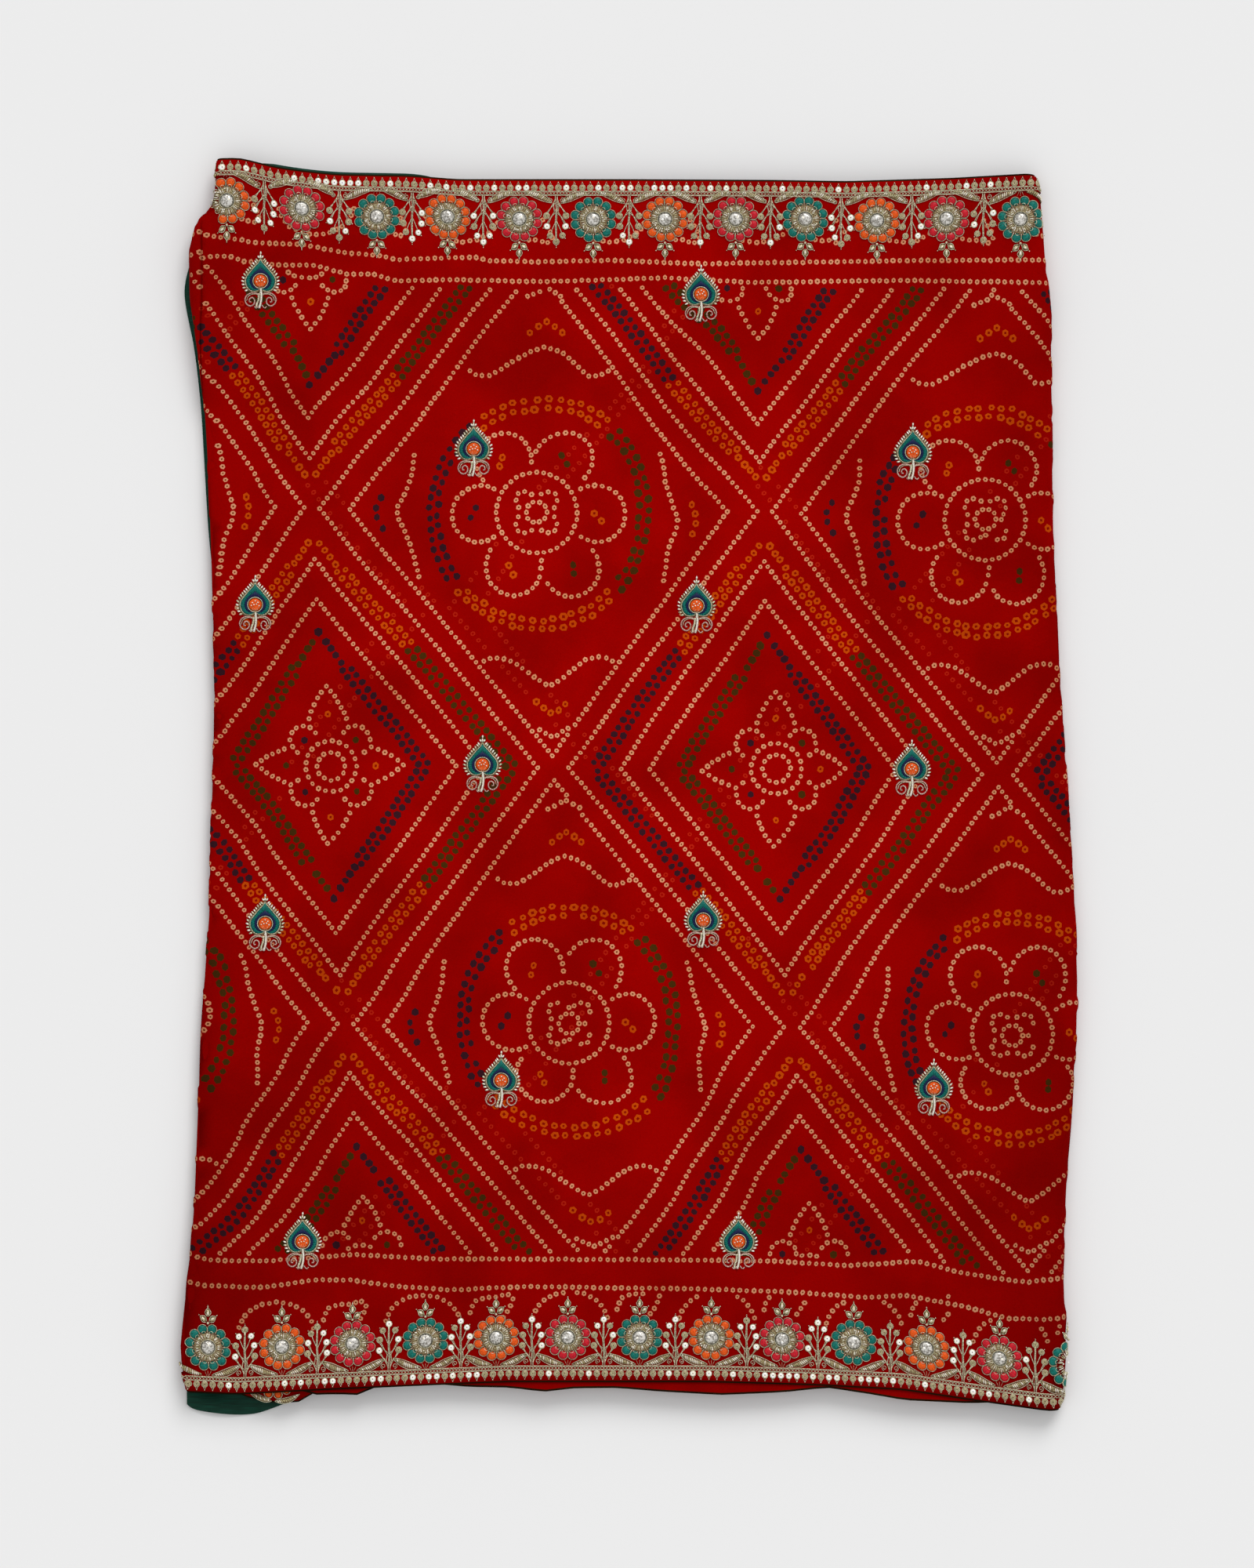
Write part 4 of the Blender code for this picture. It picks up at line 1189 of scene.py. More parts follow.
# The needlework: zari thread, sequins, beads and mirrors, laid on the cloth and couched down. Each
# stitch is a small closed body on a flat plan, which the plan's owner bends over the cloth.
class Needlework:
    """Stitches in a plan's own coordinates: two along the cloth, and a height over it."""

    def __init__(self, first=-math.inf, last=math.inf):
        self.points = []
        self.faces = []
        self.kinds = []
        self.first, self.last = first, last
        self.middle = (0.0, 0.0)
        self.turn = 0.0

    def add(self, points, faces, finish):
        """Adds a body, unless it would be past the ends that can be stitched."""
        start = len(self.points)
        cosine, sine = math.cos(self.turn), math.sin(self.turn)
        placed = [
            (self.middle[0] + x * cosine - y * sine, self.middle[1] + x * sine + y * cosine, height)
            for x, y, height in points
        ]
        along = [place[0] for place in placed]
        if min(along) < self.first or max(along) > self.last:
            return
        self.points += placed
        for face in faces:
            self.faces.append([start + index for index in face])
            self.kinds.append(finish)

    def thread(self, line, width, height, finish, base=0.3, tapered=False):
        """A couched thread along a line: ridged above, flat below."""
        line = np.asarray(line, float)
        closed = np.allclose(line[0], line[-1])
        ahead = np.gradient(line, axis=0)
        if closed:
            ahead[0] = ahead[-1] = line[1] - line[-2]
        ahead /= np.maximum(np.hypot(ahead[:, 0], ahead[:, 1]), 1e-6)[:, None]
        beside = np.column_stack([-ahead[:, 1], ahead[:, 0]]) * width / 2
        rises = np.full(len(line), height)
        if tapered:
            swell = np.sin(np.linspace(0.25, math.pi - 0.25, len(line)))
            beside, rises = beside * swell[:, None], rises * swell
        points = []
        for spot, out, rise in zip(line, beside, rises):
            points += [(*(spot + out), base), (*spot, base + rise), (*(spot - out), base)]
        rounds = len(line) - 1
        faces = []
        for step in range(rounds):
            here, following = 3 * step, 3 * (step + 1)
            if closed and step == rounds - 1:
                following = 0
            for first, second in ((0, 1), (1, 2), (2, 0)):
                faces.append((here + first, here + second, following + second, following + first))
        if closed:
            points = points[:-3]
        else:
            end = 3 * rounds
            faces += [(0, 2, 1), (end, end + 1, end + 2)]
        self.add(points, faces, finish)

    def pad(self, outline, height, finish, base=0.3, inner=0.6):
        """A domed body over a plan outline that runs anticlockwise."""
        outline = np.asarray(outline, float)
        heart = outline.mean(axis=0)
        shoulder = heart + (outline - heart) * inner
        count = len(outline)
        points = [(*spot, base) for spot in outline]
        points += [(*spot, base + 0.85 * height) for spot in shoulder]
        points.append((*heart, base + height))
        faces = [tuple(range(count - 1, -1, -1))]
        for step in range(count):
            following = (step + 1) % count
            faces.append((step, following, count + following, count + step))
            faces.append((count + step, count + following, 2 * count))
        self.add(points, faces, finish)

    def drop(self, x, y, direction, long, wide, height, finish, base=0.3, sides=8):
        """A rice bead or a pod: a padded oval whose long side points in a direction."""
        cosine, sine = math.cos(direction), math.sin(direction)
        outline = []
        for step in range(sides):
            angle = math.tau * step / sides
            along, beside = long * math.cos(angle), wide * math.sin(angle)
            outline.append((
                x + along * cosine - beside * sine, y + along * sine + beside * cosine))
        self.pad(outline, height, finish, base, 0.55)

    def bead(self, x, y, radius, finish, base=0.3):
        """A round glass or metal bead."""
        points = [(x, y, base)]
        for level, wide in ((0.5, 0.87), (1.5, 0.87)):
            for step in range(6):
                angle = math.tau * step / 6
                points.append((
                    x + radius * wide * math.cos(angle), y + radius * wide * math.sin(angle),
                    base + radius * level))
        points.append((x, y, base + 2 * radius))
        faces = []
        for step in range(6):
            following = (step + 1) % 6
            faces.append((0, 1 + following, 1 + step))
            faces.append((1 + step, 1 + following, 7 + following, 7 + step))
            faces.append((7 + step, 7 + following, 13))
        self.add(points, faces, finish)

    def sequin(self, x, y, radius, finish, hole, base=0.5, tilt=(0.0, 0.0)):
        """A flat foil sequin with a hole, which lies a little aslant."""
        sides = 10
        points = []
        for scale, level in ((1.0, 0.0), (1.0, 0.22), (0.72, 0.34), (0.2, 0.26)):
            for step in range(sides):
                angle = math.tau * step / sides
                along, up = radius * scale * math.cos(angle), radius * scale * math.sin(angle)
                slant = along * tilt[0] + up * tilt[1]
                points.append((x + along, y + up, base + level + slant))
        faces = [tuple(range(sides - 1, -1, -1))]
        for ring in range(3):
            for step in range(sides):
                following = (step + 1) % sides
                faces.append((
                    ring * sides + step, ring * sides + following,
                    (ring + 1) * sides + following, (ring + 1) * sides + step))
        self.add(points, faces, finish)
        self.add(points[3 * sides:], [tuple(range(sides))], hole)

    def weld(self, name, bend, mirrored=False):
        """One mesh of all the stitches, bent over the cloth."""
        plan = np.array(self.points)
        faces = [face[::-1] for face in self.faces] if mirrored else self.faces
        used = sorted(set(self.kinds))
        kinds = [used.index(kind) for kind in self.kinds]
        finishes = [NEEDLEWORK_FINISHES[kind] for kind in used]
        return make_mesh(name, bend(plan), faces, finishes, kinds)


def arc(middle, radius, start, sweep, steps, squash=1.0):
    """Points on part of a circle, in degrees."""
    return [
        (
            middle[0] + radius * math.cos(math.radians(start + sweep * step / steps)),
            middle[1] + radius * squash * math.sin(math.radians(start + sweep * step / steps)),
        )
        for step in range(steps + 1)
    ]


def curve(points, steps=8):
    """A smooth line through a few points."""
    points = [np.array(point, float) for point in points]
    ends = [2 * points[0] - points[1], *points, 2 * points[-1] - points[-2]]
    line = []
    for before, here, after, beyond in zip(ends, ends[1:], ends[2:], ends[3:]):
        for step in range(steps):
            share = step / steps
            line.append(0.5 * (
                2 * here + (after - before) * share
                + (2 * before - 5 * here + 4 * after - beyond) * share**2
                + (3 * here - before - 3 * after + beyond) * share**3))
    line.append(points[-1])
    return np.array(line)


def metal(name, bright, dull, roughness, metallic, grain, relief):
    """Metal drawn, rolled or stamped thin: painted highlight on its ridges, painted shade between.

    The grain is the twist or the hammering. Its width and relief are millimetres.
    """
    material, place = new_material(name)
    twist = noise(material, place, grain, Detail=3.0)
    tone = two_tones(material, twist, dull, bright, (0.40, 0.58))
    return surfaced(
        material, (tone, "Color"), twist, 0.6, relief,
        {"Roughness": roughness, "Metallic": metallic},
    )


FLOSS = 0.8


def silk(name, colour, shade):
    """Silk floss in satin stitch: fine threads with a soft shine, drawn 0.8 mm wide."""
    material, place = new_material(name)
    floss = noise(material, place, FLOSS, Detail=2.0)
    # Painted shine and shade: the tone follows the floss relief, lighter on the threads and darker
    # between.
    tone = two_tones(material, floss, shade, colour, (0.35, 0.6))
    return surfaced(
        material, (tone, "Color"), floss, 0.4, 0.2, {"Roughness": 0.42, "Specular IOR Level": 0.2},
    )


NEEDLEWORK_FINISHES = {
    "zari": metal("silver_gilt_zari_thread", "#f4eed0", "#948c66", 0.42, 0.35, 0.9, 0.25),
    "gilt": metal("old_gold_metal_purl", "#dcd2a6", "#76693c", 0.38, 0.4, 0.8, 0.3),
    # Painted highlight: the bright finish is the same silver purl, painted lighter where it would catch
    # the light.
    "bright": metal("silver_purl_painted_highlight", "#fffcf4", "#ddd3b8", 0.3, 0.3, 1.0, 0.2),
    # Painted shade: a dark brown pad under the stitches, partly their real thread base, partly shade
    # painted into the gaps between them.
    "backing": metal("thread_base_and_painted_gap_shade", "#9a865c", "#5e3a20", 0.6, 0.15, 1.1, 0.3),
    # Painted glint and painted shade: the same foil sequin, white where it would catch the light and
    # duller where it would not.
    "bright_sequin": metal("foil_sequin_painted_glint", "#ffffff", "#fbf3dc", 0.3, 0.3, 2.0, 0.05),
    "dull_sequin": metal("foil_sequin_painted_shade", "#b4a882", "#958864", 0.42, 0.4, 2.0, 0.05),
    "hole": dyed_crepe("sequin_hole_shade", "#5c4a34", "#4a3a28"),
    # Painted reflection: the mirror's mottled greys stand for what it reflects, on top of its partial
    # real reflection.
    "mirror": metal("mirror_glass_painted_reflection", "#e2dfd8", "#88837a", 0.25, 0.35, 1.6, 0.5),
    "teal": silk("teal_silk_floss", "#04786c", "#024a42"),
    "orange": silk("orange_silk_floss", "#ee5c0a", "#b83c04"),
    "crimson": silk("crimson_silk_floss", "#d01428", "#940a1a"),
    "navy": silk("navy_silk_floss", "#142052", "#0b1034"),
    "rose": metal("rose_silver_thread", "#e0bfb2", "#9c6a60", 0.5, 0.3, 0.9, 0.2),
}


# The borders: machine embroidery on a narrow strip of the same crepe, cut out along its scallops
# and sewn on just inside the hem. It carries a row of drop sequins, a braided rail, leaf garlands,
# twelve-petalled flowers with mirrors, buds, and sprigs with sequins.
HEM = 1.5
RAIL = 16.0
HIDDEN_DEPTH = 60.0
LACE = 0.5
# The flowers' middles: along the border, and in from the hem.
UPPER_FLOWERS = (
    (-364, 38), (-296, 34.5), (-228, 38), (-164, 35), (-99, 36.5), (-32, 37), (33, 36.5), (97, 36),
    (160, 35.3), (225, 36.8), (288, 36.8), (355, 40.5), (420, 40),
)
LOWER_FLOWERS = tuple(
    (x, 41) for x in (-381, -314, -250, -184, -120, -55, 10, 75, 139, 204, 270, 336, 401)
)
UPPER_COLOURS = ("orange", "crimson", "teal")
LOWER_COLOURS = ("teal", "orange", "crimson")
FLOWER_PITCH = 65.0
PETALS = 12
PETAL_RADIUS = 16.8
SEQUIN_DEPTH = 8.0
SEQUIN_PITCH = 7.25
SEQUIN_RADIUS = 2.75
LOOP_PITCH = 2.9
GARLAND_GAP = 3.8
ROUND_THE_FOLD = 0.72
sewing = random.Random(23)


def sewn_sequin(work, x, y, radius, base, brightness):
    """A sequin ringed with thread: some get a painted glint, the rest a dull painted shade."""
    finish = "bright_sequin" if sewing.random() < brightness else "dull_sequin"
    tilt = (sewing.uniform(-0.08, 0.08), sewing.uniform(-0.08, 0.08))
    work.sequin(x, y, radius * 0.92, finish, "hole", base + 0.15, tilt)
    work.thread(arc((x, y), radius, 0, 360, 10), 0.65, 0.6, "zari", base)


def drop_sequin(work, x, base, brightness):
    """A sequin with a pointed loop of thread towards the hem."""
    sewn_sequin(work, x, SEQUIN_DEPTH, SEQUIN_RADIUS, base, brightness)
    loop = ((-0.9, 5.3), (-0.7, 4.1), (0, 3.4), (0.7, 4.1), (0.9, 5.3))
    work.thread([(x + along, depth) for along, depth in loop], 0.5, 0.6, "zari", base)
    work.bead(x, 2.9, 0.5, "zari", base)


def leaf(work, spine, width, ribs, base=0.3):
    """A leaf outlined in zari and filled with slanting stitches of metal purl."""
    line = curve(spine, steps=5)
    ahead = np.gradient(line, axis=0)
    ahead /= np.hypot(ahead[:, 0], ahead[:, 1])[:, None]
    beside = np.column_stack([-ahead[:, 1], ahead[:, 0]])
    swell = np.sin(np.linspace(0.0, math.pi, len(line))) ** 0.75 * width / 2
    edges = [line + side * beside * swell[:, None] for side in (1, -1)]
    for edge in edges:
        work.thread(edge, 0.65, 0.9, "zari", base)
    inner = [line + (edge - line) * 0.72 for edge in edges]
    backing = np.concatenate([inner[1][1:-1], inner[0][-2:0:-1]])
    # A dark pad under the purl stitches: partly thread base, partly painted shade between the ribs.
    work.pad(backing, 0.4, "backing", base, 0.9)
    for place in np.linspace(0.1, 0.86, ribs) * (len(line) - 1):
        ends = []
        for side, lean in ((1, 0.0), (-1, 0.8)):
            at = min(place + lean, len(line) - 1.01)
            low, over = int(at), at - int(at)
            spot = line[low] * (1 - over) + line[low + 1] * over
            out = beside[low] * (swell[low] * (1 - over) + swell[low + 1] * over)
            ends.append(spot + side * out * 0.7)
        # Painted highlight: about half of the rib stitches take the bright finish.
        finish = "bright" if sewing.random() < 0.5 else "gilt"
        stitch = [ends[0], (ends[0] + ends[1]) / 2, ends[1]]
        work.thread(stitch, 1.7, 1.2, finish, base + 0.2, tapered=True)


def spiral(work, middle, radius, start, turns, finish="zari", base=0.3, width=0.75):
    """A curl of thread that winds in to its middle."""
    steps = 16
    line = []
    for step in range(steps + 1):
        share = step / steps
        angle = math.radians(start + turns * 360 * share)
        reach = radius * (1 - 0.75 * share)
        line.append((middle[0] + reach * math.cos(angle), middle[1] + reach * math.sin(angle)))
    work.thread(line, width, 0.65, finish, base)


def flower(work, colour):
    """A flower: padded silk petals in zari outlines, a ring of purl rays and a domed mirror."""
    # A dark pad under the petals and rays: partly thread base, partly painted shade in the gaps.
    work.pad(arc((0, 0), 13.4, 0, 360, 24)[:-1], 0.35, "backing", 0.25, 0.9)
    for petal in range(PETALS):
        turn = math.tau * (petal + 0.5) / PETALS
        cosine, sine = math.cos(turn), math.sin(turn)

        def turned(line):
            return [(x * cosine - y * sine, x * sine + y * cosine) for x, y in line]

        shape = arc((PETAL_RADIUS, 0), 3.9, 0, 360, 12, squash=1.03)[:-1]
        work.pad(turned(shape), 0.95, colour, 0.3, 0.85)
        rim = arc((PETAL_RADIUS, 0), 4.05, -125, 250, 10, squash=1.06)
        outline = [(12.6, -3.2), *rim, (12.6, 3.2)]
        work.thread(turned(outline), 0.6, 1.15, "zari", 0.3)
        work.thread(turned(arc((13.0, 0), 1.6, -100, 200, 5, squash=1.2)), 0.6, 0.5, "zari", 1.0)
    for ray in range(36):
        turn = math.tau * ray / 36 + sewing.uniform(-0.05, 0.05)
        cosine, sine = math.cos(turn), math.sin(turn)
        start, end = sewing.uniform(6.6, 7.8), sewing.uniform(11.4, 13.0)
        work.thread(
            [(radius * cosine, radius * sine) for radius in np.linspace(start, end, 4)],
            1.3, 1.1, ("bright", "zari", "gilt", "zari")[ray % 4], 0.5, tapered=True)
    # Painted glints: small beads in the bright finish scattered over the rays.
    for _ in range(16):
        turn, radius = sewing.uniform(0, math.tau), sewing.uniform(8.0, 12.0)
        work.bead(radius * math.cos(turn), radius * math.sin(turn), 0.75, "bright", 0.9)
    work.pad(arc((0, 0), 6.9, 0, 360, 14)[:-1], 2.0, "mirror", 0.5, 0.62)
    work.thread(arc((0, 0), 7.0, 0, 360, 16), 0.9, 1.3, "zari", 0.5)
    # Painted highlight: a small drop in the bright sequin finish, set on the mirror.
    turn = sewing.uniform(0, math.tau)
    work.drop(2.3 * math.cos(turn), 2.3 * math.sin(turn), turn, 1.9, 1.2, 0.5, "bright_sequin", 2.2)


def bud(work):
    """A three-podded bud over a flower, with picots at its tips."""
    work.bead(0, 21.6, 1.3, "zari")
    for side in (-1, 1):
        direction = math.pi / 2 - side * 0.95
        work.drop(side * 4.2, 25.2, direction, 3.3, 2.1, 1.3, "gilt")
        # Painted highlight: a smaller drop in the bright finish on each gilt pod.
        work.drop(side * 4.2, 25.5, direction, 1.9, 0.8, 0.7, "bright", 1.3)
        for outline in (
            ((0.9, 22.6), (2.6, 27.6), (7.2, 27.9)), ((1.6, 22.2), (5.4, 22.9), (7.2, 27.9)),
            ((0.6, 27.4), (2.7, 31.2), (0, 35.4)),
        ):
            work.thread(curve([(side * x, y) for x, y in outline], 4), 0.75, 0.8, "zari")
        work.bead(side * 8.1, 28.7, 0.6, "zari")
    work.drop(0, 30.8, math.pi / 2, 3.8, 2.0, 1.3, "gilt")
    # Painted highlight: a smaller bright drop on the middle pod.
    work.drop(0, 30.4, math.pi / 2, 2.0, 0.9, 0.7, "bright", 1.3)
    work.bead(0, 36.0, 0.7, "zari")
    work.bead(0, 37.2, 0.5, "zari")


def garland(work, side, reach):
    """A long leaf under a flower, which curves up to the next sprig."""
    leaf(
        work, [(side * 3.6, -24.6), (side * 0.45 * reach, -22.9), (side * 0.74 * reach, -19.2),
               (side * reach, -14.8)],
        6.4, 13)


def sprig(work, brightness):
    """A sprig between two flowers: a stem with three pairs of ringed sequins and one at its tip."""
    for side in (-1, 1):
        stem = (
            (side * 0.9, 15.6), (side * 0.5 + 0.4, 27), (side * 0.5 - 0.3, 40), (side * 0.3, 55.5),
        )
        work.thread(curve(stem, 4), 0.9, 0.9, "zari")
        for branch in (
            [(0.6, 19), (4.0, 24.5), (7.6, 31)], [(0.9, 22), (5.0, 26.5), (8.6, 30.6)],
            [(0.5, 28), (4.0, 34), (7.2, 40.8)], [(0.8, 31), (4.8, 34.8), (8.2, 40.0)],
            [(0.5, 39), (3.0, 44.5), (4.9, 49.2)], [(0.6, 17), (2.4, 23), (1.6, 30)],
        ):
            work.thread(curve([(side * along, up) for along, up in branch], 4), 0.75, 0.7, "zari")
        for along, up, radius in ((8.8, 33.6, 2.8), (8.4, 43.2, 2.8), (5.6, 51.6, 2.6)):
            sewn_sequin(work, side * along, up, radius, 0.3, brightness)
        work.bead(side * 11.8, 44.9, 0.55, "zari")
        work.bead(side * 8.2, 54.2, 0.55, "zari")
        spiral(work, (side * 5.2, 19.2), 2.5, -100, side * 1.3, width=0.6)
    sewn_sequin(work, 0, 57.4, 2.8, 0.3, brightness)
    work.bead(0, 61.1, 0.6, "zari")
    work.bead(0, 62.5, 0.5, "zari")


def border_bend(upper):
    """Bends a border's plan, along the hem and in from it, over the top ply and its folds."""
    def bend(plan):
        u, depth = plan[:, 0], plan[:, 1]
        share = 1 - depth / WIDTH if upper else depth / WIDTH
        left = fold_shape(FOLDS[1], share)[0]
        right = fold_shape(FOLDS[0], share)[0]
        lower, upper_line = ply_edges(PLIES[-1], np.clip(u, left, right))
        over_strip = np.where(depth < RAIL, LACE, 0.0)
        return on_top(u, lower + (upper_line - lower) * share, plan[:, 2] + over_strip)

    return bend


def sixth_ply_bend(plan):
    """Bends the lower border's plan over the sixth ply's hem, which is turned under a little."""
    lower, upper = ply_edges(PLIES[5], plan[:, 0])
    y = lower + plan[:, 1]
    weight = border_weight((y - lower) / (upper - lower))
    z = ply_middle(6, weight) + CLOTH / 2 + SEWN_GAP + LACE + plan[:, 2]
    return np.stack([plan[:, 0], y, z], axis=-1)


def make_border(name, node, flowers, colours, upper):
    """The strip all the way along the cloth, and the needlework where it can be seen."""
    near_shares = np.array([HEM, 6.0, 11.0, RAIL]) / WIDTH
    deep_shares = np.array([HEM, 20.0, 40.0, HIDDEN_DEPTH]) / WIDTH
    near_grid, strip = (
        cloth_columns(1 - shares if upper else shares)[0] for shares in (near_shares, deep_shares))
    strip[:, first_over:last_over + 1] = near_grid[:, first_over:last_over + 1]
    outs = (CLOTH / 2 + SEWN_GAP + LACE, CLOTH / 2 + SEWN_GAP)
    points = np.concatenate([shell(strip, out).reshape(-1, 3) for out in outs])
    long, deep = strip.shape[1:]
    back = long * deep
    faces = []
    for column in range(long - 1):
        for row in range(deep - 1):
            near, far = column * deep + row, (column + 1) * deep + row
            faces.append((near, near + 1, far + 1, far))
            faces.append((back + near, back + far, back + far + 1, back + near + 1))
        for row, order in ((0, 1), (deep - 1, -1)):
            near, far = column * deep + row, (column + 1) * deep + row
            faces.append((near, far, back + far, back + near)[::order])
    for column, order in ((0, -1), (long - 1, 1)):
        for row in range(deep - 1):
            near = column * deep + row
            faces.append((near, near + 1, back + near + 1, back + near)[::order])
    if upper:
        faces = [tuple(reversed(face)) for face in faces]
    strip_piece = make_mesh(
        name + "_strip", points, faces, [CREPE_DYES["ground"]], [0] * len(faces))

    edge_share = RAIL / WIDTH if not upper else 1 - RAIL / WIDTH
    left, left_reach, left_half = (float(part) for part in fold_shape(FOLDS[1], edge_share))
    right, right_reach, right_half = (float(part) for part in fold_shape(FOLDS[0], edge_share))
    first = left - half_ellipse(left_reach, left_half) * ROUND_THE_FOLD
    last = right + half_ellipse(right_reach, right_half) * ROUND_THE_FOLD
    work = Needlework(first, last)
    for x in np.arange(first + 3, last - 3, SEQUIN_PITCH):
        drop_sequin(work, float(x), 0.35, 0.36 if abs(x) < 330 else 0.1)
    for depth in (11.2, 14.9):
        work.thread([(x, depth) for x in np.arange(first, last, 8.0)], 0.8, 0.7, "zari", 0.35)
    for x in np.arange(first + 2, last - 2, LOOP_PITCH):
        work.thread(arc((float(x), 13.0), 1.35, 0, 360, 6), 0.7, 0.7, "zari", 0.35)
    places = [x for x, _ in flowers]
    for number, (x, depth) in enumerate(flowers):
        work.middle, work.turn = (x, depth), sewing.uniform(-0.06, 0.06)
        flower(work, colours[number % 3])
        work.turn = 0.0
        bud(work)
        following = places[number + 1] if number + 1 < len(places) else x + FLOWER_PITCH
        before = places[number - 1] if number else x - FLOWER_PITCH
        garland(work, -1, (x - before) / 2 - GARLAND_GAP)
        garland(work, 1, (following - x) / 2 - GARLAND_GAP)
        for side in (-1, 0, 1):
            work.thread([(side * 0.8, -25.6), (side * 3.0, -20.8)], 1.0, 0.9, "zari", tapered=True)
        work.middle = ((x + following) / 2, 0.0)
        sprig(work, 0.4)
        work.middle = (0.0, 0.0)
    stitched = work.weld(name + "_needlework", border_bend(upper), mirrored=upper)
    pieces = [stitched]
    if not upper:
        hem_work = Needlework()
        hem_work.middle = (-322.0, 24.0)
        for petal in (7, 8, 9, 10):
            turn = math.tau * (petal + 0.5) / PETALS
            x, y = PETAL_RADIUS * math.cos(turn), PETAL_RADIUS * math.sin(turn)
            hem_work.drop(x, y, turn, 3.5, 3.3, 0.7, "orange", 0.2, 12)
            hem_work.thread(arc((x, y), 3.9, 0, 360, 12), 0.8, 0.7, "zari", 0.2)
        for side in (-1, 1):
            leaf(hem_work, [(side * 1.5, -22.6), (side * 12, -21.4), (side * 24, -17.0)], 5.0, 10, 0.2)
        pieces.append(hem_work.weld(name + "_turned_hem_needlework", sixth_ply_bend))
    for piece in (strip_piece, *pieces):
        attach(piece, "root")
    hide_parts(node)


make_border("upper_border", "upper_border", UPPER_FLOWERS, UPPER_COLOURS, upper=True)
make_border("lower_border", "lower_border", LOWER_FLOWERS, LOWER_COLOURS, upper=False)


# The butis: fourteen peacock-feather patches, each worked on its own backing and sewn on. A rim
# of rice beads runs round a heart in teal and navy silk, with an orange eye, a silver stem and
# scrolls.
HEART = (
    (0, 19.3), (1.6, 16.4), (5.0, 12.9), (9.4, 7.6), (12.8, 3.1), (13.6, -1.2), (12.3, -5.6),
    (9.6, -8.6), (6.4, -9.7), (3.2, -9.1), (0, -7.8),
)
SCROLL = (
    (1.6, -12.4), (5.0, -11.4), (9.0, -11.4), (12.6, -13.6), (14.0, -17.4), (12.6, -21.2), (9.2, -23.0),
    (6.0, -21.2), (5.4, -17.6), (7.6, -15.4), (10.0, -16.8), (10.0, -19.2), (8.4, -19.4),
)
RICE_PITCH = 2.45
BUTI_SHIFT = 0.6


def heart_line(scale_x=1.0, scale_y=1.0, down=0.0):
    """The outline of the feather's eye, anticlockwise from its tip."""
    left = [(-x, y) for x, y in HEART]
    right = [(x, y) for x, y in reversed(HEART[1:-1])]
    line = curve([*left, *right, HEART[0]], 3)[:-1]
    return line * (scale_x, scale_y) - (0.0, down)


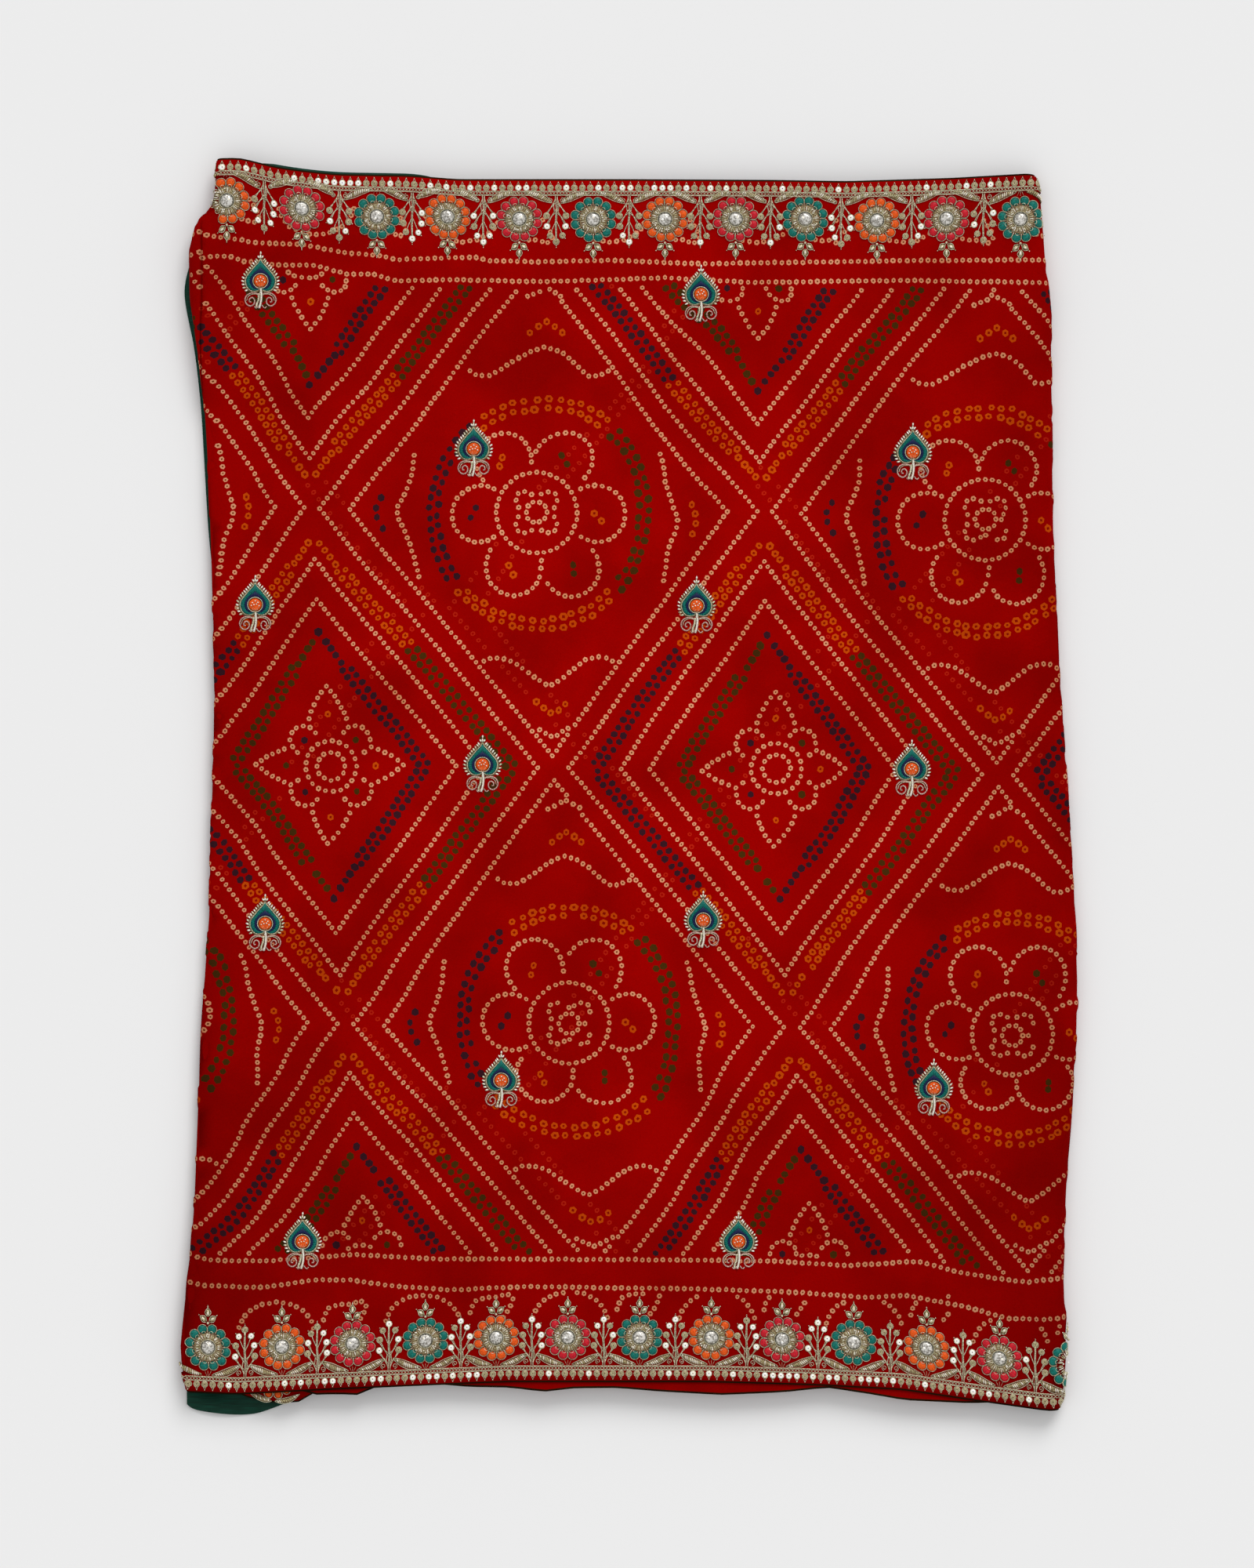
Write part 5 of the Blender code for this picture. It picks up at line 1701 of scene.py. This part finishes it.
def make_buti(number, middle):
    """One buti in its plan: x across, y up, from its own middle."""
    work = Needlework()
    work.middle = (BUTI_SHIFT, 0.0)
    heart = heart_line()
    ahead = np.roll(heart, -1, axis=0) - np.roll(heart, 1, axis=0)
    ahead /= np.hypot(ahead[:, 0], ahead[:, 1])[:, None]
    outward = np.column_stack([ahead[:, 1], -ahead[:, 0]])
    # A dark pad under the rice beads: partly thread base, partly painted shade between the beads.
    work.pad(heart + outward * 1.6, 0.35, "backing", 0.25, 0.93)
    rounds = np.concatenate([heart, heart[:1]])
    runs = np.concatenate([[0], np.cumsum(np.hypot(*np.diff(rounds, axis=0).T))])
    around = np.concatenate([outward, outward[:1]])
    for distance in np.arange(0.0, runs[-1] - 1, RICE_PITCH):
        x, y, out_x, out_y = (
            float(np.interp(distance, runs, line)) for line in (*rounds.T, *around.T))
        if y < -8.3 and abs(x) < 10:
            continue
        direction = math.atan2(out_y + 0.45, out_x) + sewing.uniform(-0.12, 0.12)
        reach = sewing.uniform(2.3, 2.7)
        # Painted highlight: most rice beads take the bright finish, the rest plain zari.
        work.drop(
            x + out_x * reach, y + out_y * reach, direction, 1.85, 0.95, 1.2,
            "bright" if sewing.random() < 0.6 else "zari", 0.4)
    for x, y, direction in (
        (-1.7, 21.4, 2.2), (1.7, 21.4, 0.95), (0.0, 22.4, 1.57), (0.2, 25.0, 1.57),
    ):
        work.drop(x, y, direction, 1.6, 0.95, 1.1, "bright" if x else "zari", 0.4)
    work.thread(rounds, 1.0, 1.2, "zari", 0.4)
    work.pad(heart_line(0.96, 0.96), 0.9, "teal", 0.5, 0.9)
    eye_x, eye_y = 0.0, -0.4
    for step in range(64):
        distance = runs[-1] * (step + 0.5) / 64
        edge = np.array([np.interp(distance, runs, line) for line in rounds.T])
        eye = np.array([eye_x, eye_y])
        outer = eye + (edge - eye) * 0.95
        away = np.hypot(*(edge - eye))
        inner = eye + (edge - eye) * 7.0 / away
        change = inner + (outer - inner) * (0.42 + 0.08 * (step % 2))
        work.thread([outer, change], 1.7, 0.55, "teal", 1.2)
        work.thread([change, inner], 1.5, 0.6, "navy", 1.2)
    work.pad(arc((eye_x, eye_y), 6.6, 0, 360, 18, squash=0.97)[:-1], 1.1, "orange", 1.2, 0.7)
    work.thread(arc((eye_x, eye_y), 6.9, 0, 360, 20, squash=0.98), 0.95, 1.3, "zari", 1.3)
    for x, y in (
        (-2.4, 1.4), (0.2, 3.0), (2.6, 1.6), (-3.4, -1.2), (3.6, -1.4), (-1.0, -0.4), (1.4, 0.0),
    ):
        work.bead(x, y, 0.72, "bright", 2.1)
    for side in (-0.8, -0.3, 0.3, 0.8):
        work.thread([(side * 1.0, -7.4), (side * 4.0, -1.6)], 1.3, 0.9, "zari", 2.0, tapered=True)
    stem = [(0.2, -6.8), (0.8, -13), (0.4, -19), (-1.2, -25.0)]
    work.thread(curve(stem, 4), 2.3, 1.5, "bright", 1.0)
    shoot = [(-1.2, -11.5), (-1.8, -17), (-3.4, -21.5), (-3.6, -24.4)]
    work.thread(curve(shoot, 4), 2.4, 1.0, "zari", 0.4)
    for side in (-1, 1):
        work.thread(curve([(side * x, y) for x, y in SCROLL], 3), 1.45, 1.0, "rose", 0.4)
        inner = [(side * (x - 1.4 if x > 2 else x), y - 0.9) for x, y in SCROLL[:5]]
        work.thread(curve(inner, 3), 0.8, 0.8, "zari", 0.4)
        foot = [(side * 1.0, -22.0), (side * 3.6, -24.8), (side * 5.6, -23.4)]
        work.thread(curve(foot, 4), 1.2, 0.9, "rose", 0.4)

    def bend(plan):
        return on_top(middle[0] + plan[:, 0], middle[1] + plan[:, 1], plan[:, 2])

    name = f"buti_{number:02d}"
    piece = work.weld(f"feather_{name}", bend)
    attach(piece, "root")
    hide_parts(name)


for number, middle in enumerate(BUTIS, start=1):
    make_buti(number, middle)


# The studio: a plain pale floor, a broad soft light from beyond the upper selvedge, a weak fill,
# and a camera straight above, 12 m over the top ply with a long lens, as flat as the photo.
CAMERA_HEIGHT = 12.0
TOP_PLY = 0.019
FRAME_HEIGHT = 1.42
SENSOR = 36.0
AIM_X, AIM_Y = -0.0014, 0.0021
FLOOR_HALF, FLOOR_DROP = 12, 0.0004
FILL_STRENGTH = 0.68
scene = bpy.context.scene
camera_data = bpy.data.cameras.new("camera")
camera_data.sensor_width = SENSOR
camera_data.lens = SENSOR * CAMERA_HEIGHT / FRAME_HEIGHT
camera = bpy.data.objects.new("camera", camera_data)
camera.location = (
    AIM_X + centring[0] * MM, AIM_Y + centring[1] * MM, CAMERA_HEIGHT + TOP_PLY)
scene.collection.objects.link(camera)
scene.camera = camera

floor_material, _ = new_material("pale_paper_sweep")
floor_surface = add_node(
    floor_material, "ShaderNodeBsdfPrincipled",
    {"Base Color": linear("#efefef"), "Roughness": 0.95, "Specular IOR Level": 0.1},
)
add_node(floor_material, "ShaderNodeOutputMaterial", links={"Surface": (floor_surface, "BSDF")})
floor_mesh = bpy.data.meshes.new("floor")
floor_mesh.from_pydata(
    [(x * FLOOR_HALF, y * FLOOR_HALF, -FLOOR_DROP) for x, y in ((-1, -1), (1, -1), (1, 1), (-1, 1))],
    [], [(0, 1, 2, 3)])
floor_mesh.materials.append(floor_material)
floor = bpy.data.objects.new("floor", floor_mesh)
scene.collection.objects.link(floor)

world = bpy.data.worlds.new("studio")
world.use_nodes = True
world.node_tree.nodes["Background"].inputs["Color"].default_value = (1.0, 1.0, 1.0, 1.0)
world.node_tree.nodes["Background"].inputs["Strength"].default_value = FILL_STRENGTH
scene.world = world
scene.view_settings.view_transform = "Standard"


# The broad window light. It comes from beyond the upper selvedge, so the shadow lies below the
# lower one.
window = bpy.data.lights.new("window_light", "SUN")
window.energy = 1.5
window.angle = math.radians(34)
window_light = bpy.data.objects.new("window_light", window)
window_light.rotation_euler = (math.radians(-52), 0.0, math.radians(-18))
scene.collection.objects.link(window_light)
